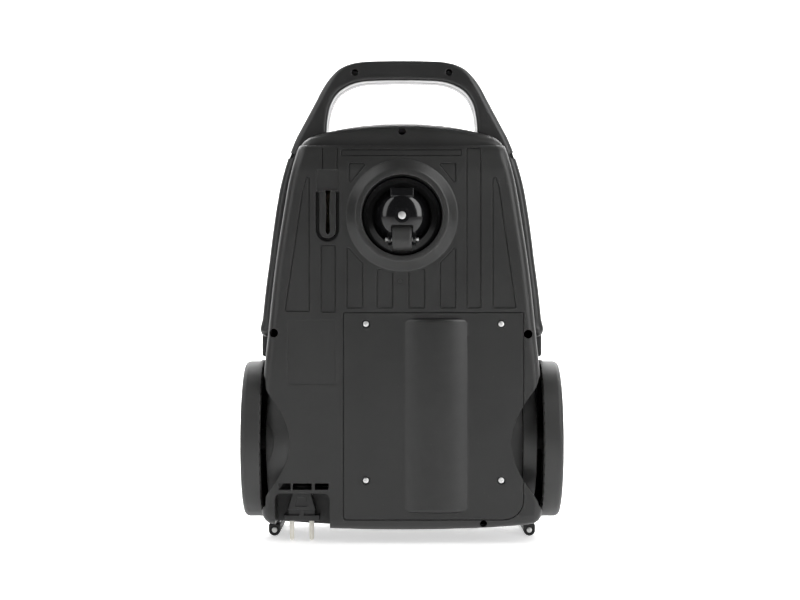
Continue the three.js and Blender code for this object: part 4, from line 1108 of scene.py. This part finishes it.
def moulded(name, colour, roughness, grain=1800.0, bump=0.12, blotch=0.12, wear=0.25, edge=0.5, specular=0.5,
            dust=0.0):
    """Moulded plastic: fine spark-eroded grain, uneven gloss, soft edges with a little rubbing on them."""
    material, tree, shader = new_material(name)
    at = node(tree, "ShaderNodeTexCoord").outputs["Object"]
    fine = node(tree, "ShaderNodeTexNoise", {"Vector": at, "Scale": grain, "Detail": 3.0, "Roughness": 0.6})
    broad = node(tree, "ShaderNodeTexNoise", {"Vector": at, "Scale": 14.0, "Detail": 5.0, "Roughness": 0.62})
    scuffs = node(tree, "ShaderNodeTexNoise", {"Vector": at, "Scale": 95.0, "Detail": 4.0, "Roughness": 0.7})
    tone = mix(tree, ramp(tree, broad.outputs[0], 0.3, 0.7), [c * (1 - blotch) for c in colour],
               [c * (1 + blotch) for c in colour])
    geometry = node(tree, "ShaderNodeNewGeometry")
    rubbed = node(tree, "ShaderNodeMath", {0: ramp(tree, geometry.outputs["Pointiness"], 0.52, 0.62),
                                           1: ramp(tree, scuffs.outputs[0], 0.42, 0.62)},
                                           operation="MULTIPLY")
    worn = node(tree, "ShaderNodeMath", {0: rubbed.outputs[0], 1: wear}, operation="MULTIPLY")
    tone = mix(tree, worn.outputs[0], tone, [min(1.0, c * 2.2 + 0.02) for c in colour])
    if dust:
        speck = node(tree, "ShaderNodeTexNoise",
                     {"Vector": at, "Scale": 420.0, "Detail": 2.0, "Roughness": 0.5})
        specks = node(tree, "ShaderNodeMath", {0: ramp(tree, speck.outputs[0], 0.72, 0.78), 1: dust},
                      operation="MULTIPLY")
        tone = mix(tree, specks.outputs[0], tone, (0.25, 0.24, 0.22))
    tree.links.new(tone, shader.inputs["Base Color"])
    gloss = ramp(tree, broad.outputs[0], 0.25, 0.75, roughness - 0.05, roughness + 0.06)
    tree.links.new(gloss, shader.inputs["Roughness"])
    shader.inputs["Specular IOR Level"].default_value = specular
    round_edges = node(tree, "ShaderNodeBevel", {"Radius": edge * MM}, samples=4)
    relief = node(tree, "ShaderNodeBump", {"Strength": bump, "Distance": 0.0002, "Height": fine.outputs[0],
                                           "Normal": round_edges.outputs[0]})
    tree.links.new(relief.outputs[0], shader.inputs["Normal"])
    return material


def metal(name, colour, roughness, brushed=0.0):
    material, tree, shader = new_material(name)
    at = node(tree, "ShaderNodeTexCoord").outputs["Object"]
    stretch = node(tree, "ShaderNodeMapping", {"Vector": at, "Scale": (1, 1, 40) if brushed else (1, 1, 1)})
    grain = node(tree, "ShaderNodeTexNoise", {"Vector": stretch.outputs[0], "Scale": 260.0, "Detail": 4.0,
                                              "Roughness": 0.6})
    tone = mix(tree, ramp(tree, grain.outputs[0], 0.3, 0.7), [c * 0.86 for c in colour], colour)
    tree.links.new(tone, shader.inputs["Base Color"])
    tree.links.new(ramp(tree, grain.outputs[0], 0.3, 0.7, roughness * 0.8, roughness * 1.25),
                   shader.inputs["Roughness"])
    shader.inputs["Metallic"].default_value = 1.0
    relief = node(tree, "ShaderNodeBump", {"Strength": 0.06, "Distance": 0.0002, "Height": grain.outputs[0]})
    tree.links.new(relief.outputs[0], shader.inputs["Normal"])
    return material


def fibrous(name, colour, scale, roughness=0.92, bump=0.5, spread=0.25, sheen=0.0):
    """Paper, card and foam: a mottled tone and a cellular or fibrous relief."""
    material, tree, shader = new_material(name)
    at = node(tree, "ShaderNodeTexCoord").outputs["Object"]
    cells = node(tree, "ShaderNodeTexVoronoi", {"Vector": at, "Scale": scale})
    cloud = node(tree, "ShaderNodeTexNoise", {"Vector": at, "Scale": scale * 0.12, "Detail": 6.0,
                                              "Roughness": 0.7})
    tone = mix(tree, ramp(tree, cloud.outputs[0], 0.3, 0.7), [c * (1 - spread) for c in colour],
               [min(1, c * (1 + spread)) for c in colour])
    tree.links.new(tone, shader.inputs["Base Color"])
    tree.links.new(ramp(tree, cloud.outputs[0], 0.3, 0.7, roughness - 0.06, roughness),
                   shader.inputs["Roughness"])
    shader.inputs["Sheen Weight"].default_value = sheen
    relief = node(tree, "ShaderNodeBump", {"Strength": bump, "Distance": 0.0006, "Height": cells.outputs[0]})
    tree.links.new(relief.outputs[0], shader.inputs["Normal"])
    return material


SETTINGS = {
    moulded: {
        "casing_plastic": dict(colour=(0.015, 0.015, 0.0147), roughness=0.40, bump=0.16, dust=0.05),
        "cover_plastic": dict(colour=(0.0145, 0.0145, 0.0142), roughness=0.36, bump=0.14, dust=0.06),
        "handle_plastic": dict(colour=(0.017, 0.017, 0.017), roughness=0.34, bump=0.10, edge=0.3),
        "lid_gloss": dict(colour=(0.012, 0.012, 0.013), roughness=0.12, bump=0.0, blotch=0.04, wear=0.1,
                          specular=0.6),
        "caster_gloss": dict(colour=(0.004, 0.004, 0.0045), roughness=0.10, bump=0.0, blotch=0.05, wear=0.05,
                             edge=0.4),
        "accent_grey": dict(colour=(0.23, 0.24, 0.25), roughness=0.3, bump=0.06),
        "indicator_window": dict(colour=(0.30, 0.012, 0.012), roughness=0.08, bump=0.0, wear=0.0),
        "wheel_plastic": dict(colour=(0.020, 0.020, 0.0195), roughness=0.5, bump=0.10, edge=0.3,
                              specular=0.25),
        "tyre_rubber": dict(colour=(0.021, 0.021, 0.0205), roughness=0.5, grain=1300.0, bump=0.2, wear=0.1,
                            edge=0.4, dust=0.06),
        "soft_rubber": dict(colour=(0.014, 0.014, 0.014), roughness=0.6, grain=1200.0, bump=0.12, edge=0.3),
        "inner_plastic": dict(colour=(0.42, 0.42, 0.41), roughness=0.45, bump=0.08, wear=0.0),
        "cord_black": dict(colour=(0.022, 0.022, 0.022), roughness=0.5, bump=0.08, edge=0.4, wear=0.15),
        "pin_ivory": dict(colour=(0.84, 0.81, 0.73), roughness=0.32, bump=0.03, blotch=0.04, wear=0.0,
                          edge=0.3),
    },
    metal: {
        "screw_steel": dict(colour=(0.86, 0.86, 0.85), roughness=0.42),
        "motor_case_metal": dict(colour=(0.60, 0.61, 0.62), roughness=0.38, brushed=1.0),
    },
    fibrous: {
        "bag_paper": dict(colour=(0.62, 0.55, 0.43), scale=900.0, bump=0.35, spread=0.08),
        "bag_card": dict(colour=(0.42, 0.30, 0.18), scale=700.0, bump=0.3, spread=0.12),
        "filter_foam": dict(colour=(0.05, 0.06, 0.08), scale=620.0, bump=1.0, spread=0.3, sheen=0.1),
    },
}
MATERIALS = {name: make(name, **settings) for make, group in SETTINGS.items() for name,
             settings in group.items()}


# ---------------------------------------------------------------- every piece, with the node that it stands for
def stand_in(name, made, *nodes, angle=32.0, smooth=True):
    made.name = name
    made.data.name = name
    if smooth:
        shade(made, angle)
    made.data.materials.clear()
    made.data.materials.append(MATERIALS[SLOT_OF[nodes[0]]])
    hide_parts(*nodes)
    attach(made, BODY_OF[nodes[0]])
    return made


stand_in("casing_underside", bottom_casing(), "bottom_casing")
stand_in("casing_cover", motor_cover(), "motor_cover")
stand_in("casing_top", top_casing(), "top_casing")
stand_in("handle_front_half", handle_half(True), "handle_lower_shell", smooth=False)
stand_in("handle_back_half", handle_half(False), "handle_upper_shell", smooth=False)
stand_in("bag_lid", lid(), "lid")
stand_in("inlet_ring", inlet_collar(), "hose_inlet_collar")
stand_in("pedal_power", pedal(1), "power_pedal")
stand_in("pedal_rewind", pedal(-1), "rewind_pedal")
stand_in("dial_suction", suction_dial(), "suction_dial")
stand_in("latch", latch_button(), "lid_latch_button")
stand_in("grille", exhaust_grille(), "exhaust_grille")
stand_in("bag_window", both(skin(0.2, WALL), high(box_outline(*WINDOW, 5))), "bag_indicator_window")
for word, way in (("left", -1), ("right", 1)):
    stand_in("wheel_tread_" + word, tyre(way), "tyre_" + word, angle=50)
    stand_in("wheel_face_" + word, wheel_disc(way), "wheel_disc_" + word)
    stand_in("wheel_cap_" + word, hub_cap(way), "hub_cap_" + word)
    stand_in("foot_rail_" + word, foot(way), "rear_foot_" + word)
    stand_in("foot_end_screw_" + word, screw(way * FOOT["x"], FOOT["front"], 5.6, 2.7, 1.5, 15),
             "foot_screw_" + word)
    stand_in("pin_sleeve_" + word, plug_pin(way), "plug_pin_" + word, angle=50)
stand_in("caster_turntable", caster_dome(), "caster_dome")
stand_in("caster_wheel_pin", caster_pin(), "caster_pin")
stand_in("caster_wheel_tread", caster_roller(), "caster_roller", angle=50)
stand_in("caster_centre_screw", screw(0, -4.4, CASTER[2], 3.8, 1.6, 2.5, 1.6), "caster_screw")
for k, (x, z) in enumerate(COVER_SCREWS):
    stand_in("cover_fixing_%d" % (k + 1), screw(x, -0.3, z, 2.7, 1.55, 12), "cover_screw_%d" % (k + 1))
stand_in("plug_shell", plug_body(), "plug_body")
stand_in("lead", cord_lead(), "cord_lead", angle=50)
stand_in("cord_turns", cord_winding(), "cord_winding", angle=60)
stand_in("lead_guide", cord_guide(), "cord_guide")
stand_in("paper_bag", dust_bag(), "dust_bag", smooth=False)
stand_in("impeller", fan_rotor(), "fan_rotor")
spend(shell)

# The nodes with no stand-in keep the CAD's own shape, and take their slot's material.
for name, cad in frame["nodes"].items():
    cad.data.materials.clear()
    cad.data.materials.append(MATERIALS[SLOT_OF[name]])


# ---------------------------------------------------------------- floor, light and camera
BACKDROP = dict(half_width=12.0, depth=2.2, rise=3.0, sweep=0.5)
LIGHTS = [  # name, place, what it faces, size, watts
    ("right", (1.25, -1.15, 1.15), (0, -0.1, 0.3), (0.75, 1.9), 22),
    ("left", (-1.25, -1.15, 1.15), (0, -0.1, 0.3), (0.6, 1.9), 9),
    ("above_+1", (1.15, -0.1, 1.5), (0, -0.05, 0.25), (0.8, 1.2), 6),
    ("above_-1", (-1.15, -0.1, 1.5), (0, -0.05, 0.25), (0.8, 1.2), 6),
    ("backdrop_wash", (0, 1.2, 2.5), (0, 2.4, 1.7), (3.8, 0.8), 170),
]


def backdrop():
    """A white floor that sweeps up into a wall."""
    material, _, shader = new_material("studio_white")
    for key, value in {"Base Color": (0.9, 0.9, 0.9, 1), "Roughness": 0.55, "Emission Color": (1, 1, 1, 1),
                       "Emission Strength": 0.55}.items():
        shader.inputs[key].default_value = value
    wide, depth, sweep = BACKDROP["half_width"], BACKDROP["depth"], BACKDROP["sweep"]
    section = [(-wide, 0.0), (depth - sweep, 0.0)]
    section += [(depth - sweep + sweep * math.sin(a), sweep * (1 - math.cos(a)))
                for a in np.linspace(0.1, math.pi / 2, 12)]
    section.append((depth, BACKDROP["rise"]))
    points = [(x, y, z) for y, z in section for x in (-wide, wide)]
    faces = [(2 * i, 2 * i + 1, 2 * i + 3, 2 * i + 2) for i in range(len(section) - 1)]
    mesh = bpy.data.meshes.new("backdrop")
    mesh.from_pydata(points, [], faces)
    mesh.polygons.foreach_set("use_smooth", [True] * len(faces))
    mesh.materials.append(material)
    linked("backdrop", mesh)


def softbox(name, at, look_at, size, power):
    light = bpy.data.lights.new(name, "AREA")
    light.shape = "RECTANGLE"
    light.size, light.size_y = size
    light.energy = power
    lamp = linked(name, light)
    lamp.location = at
    lamp.rotation_euler = (Vector(look_at) - Vector(at)).to_track_quat("-Z", "Y").to_euler()


def studio():
    backdrop()
    world = bpy.data.worlds.new("studio")
    bpy.context.scene.world = world
    world.use_nodes = True
    background = world.node_tree.nodes["Background"]
    background.inputs["Color"].default_value = (1, 1, 1, 1)
    background.inputs["Strength"].default_value = 0.08
    for settings in LIGHTS:
        softbox(*settings)


def camera():
    lens = bpy.data.cameras.new("camera")
    lens.sensor_width = 36.0
    lens.lens = lens.sensor_width * CAMERA_DISTANCE / FRAME_WIDTH
    lens.clip_end = 50
    eye = linked("camera", lens)
    eye.location = (CAMERA_X, -DEPTH_CENTRE * MM - CAMERA_DISTANCE, CAMERA_HEIGHT)
    eye.rotation_euler = (math.radians(90), 0, 0)
    bpy.context.scene.camera = eye


camera()
studio()
bpy.context.scene.view_settings.view_transform = "Standard"
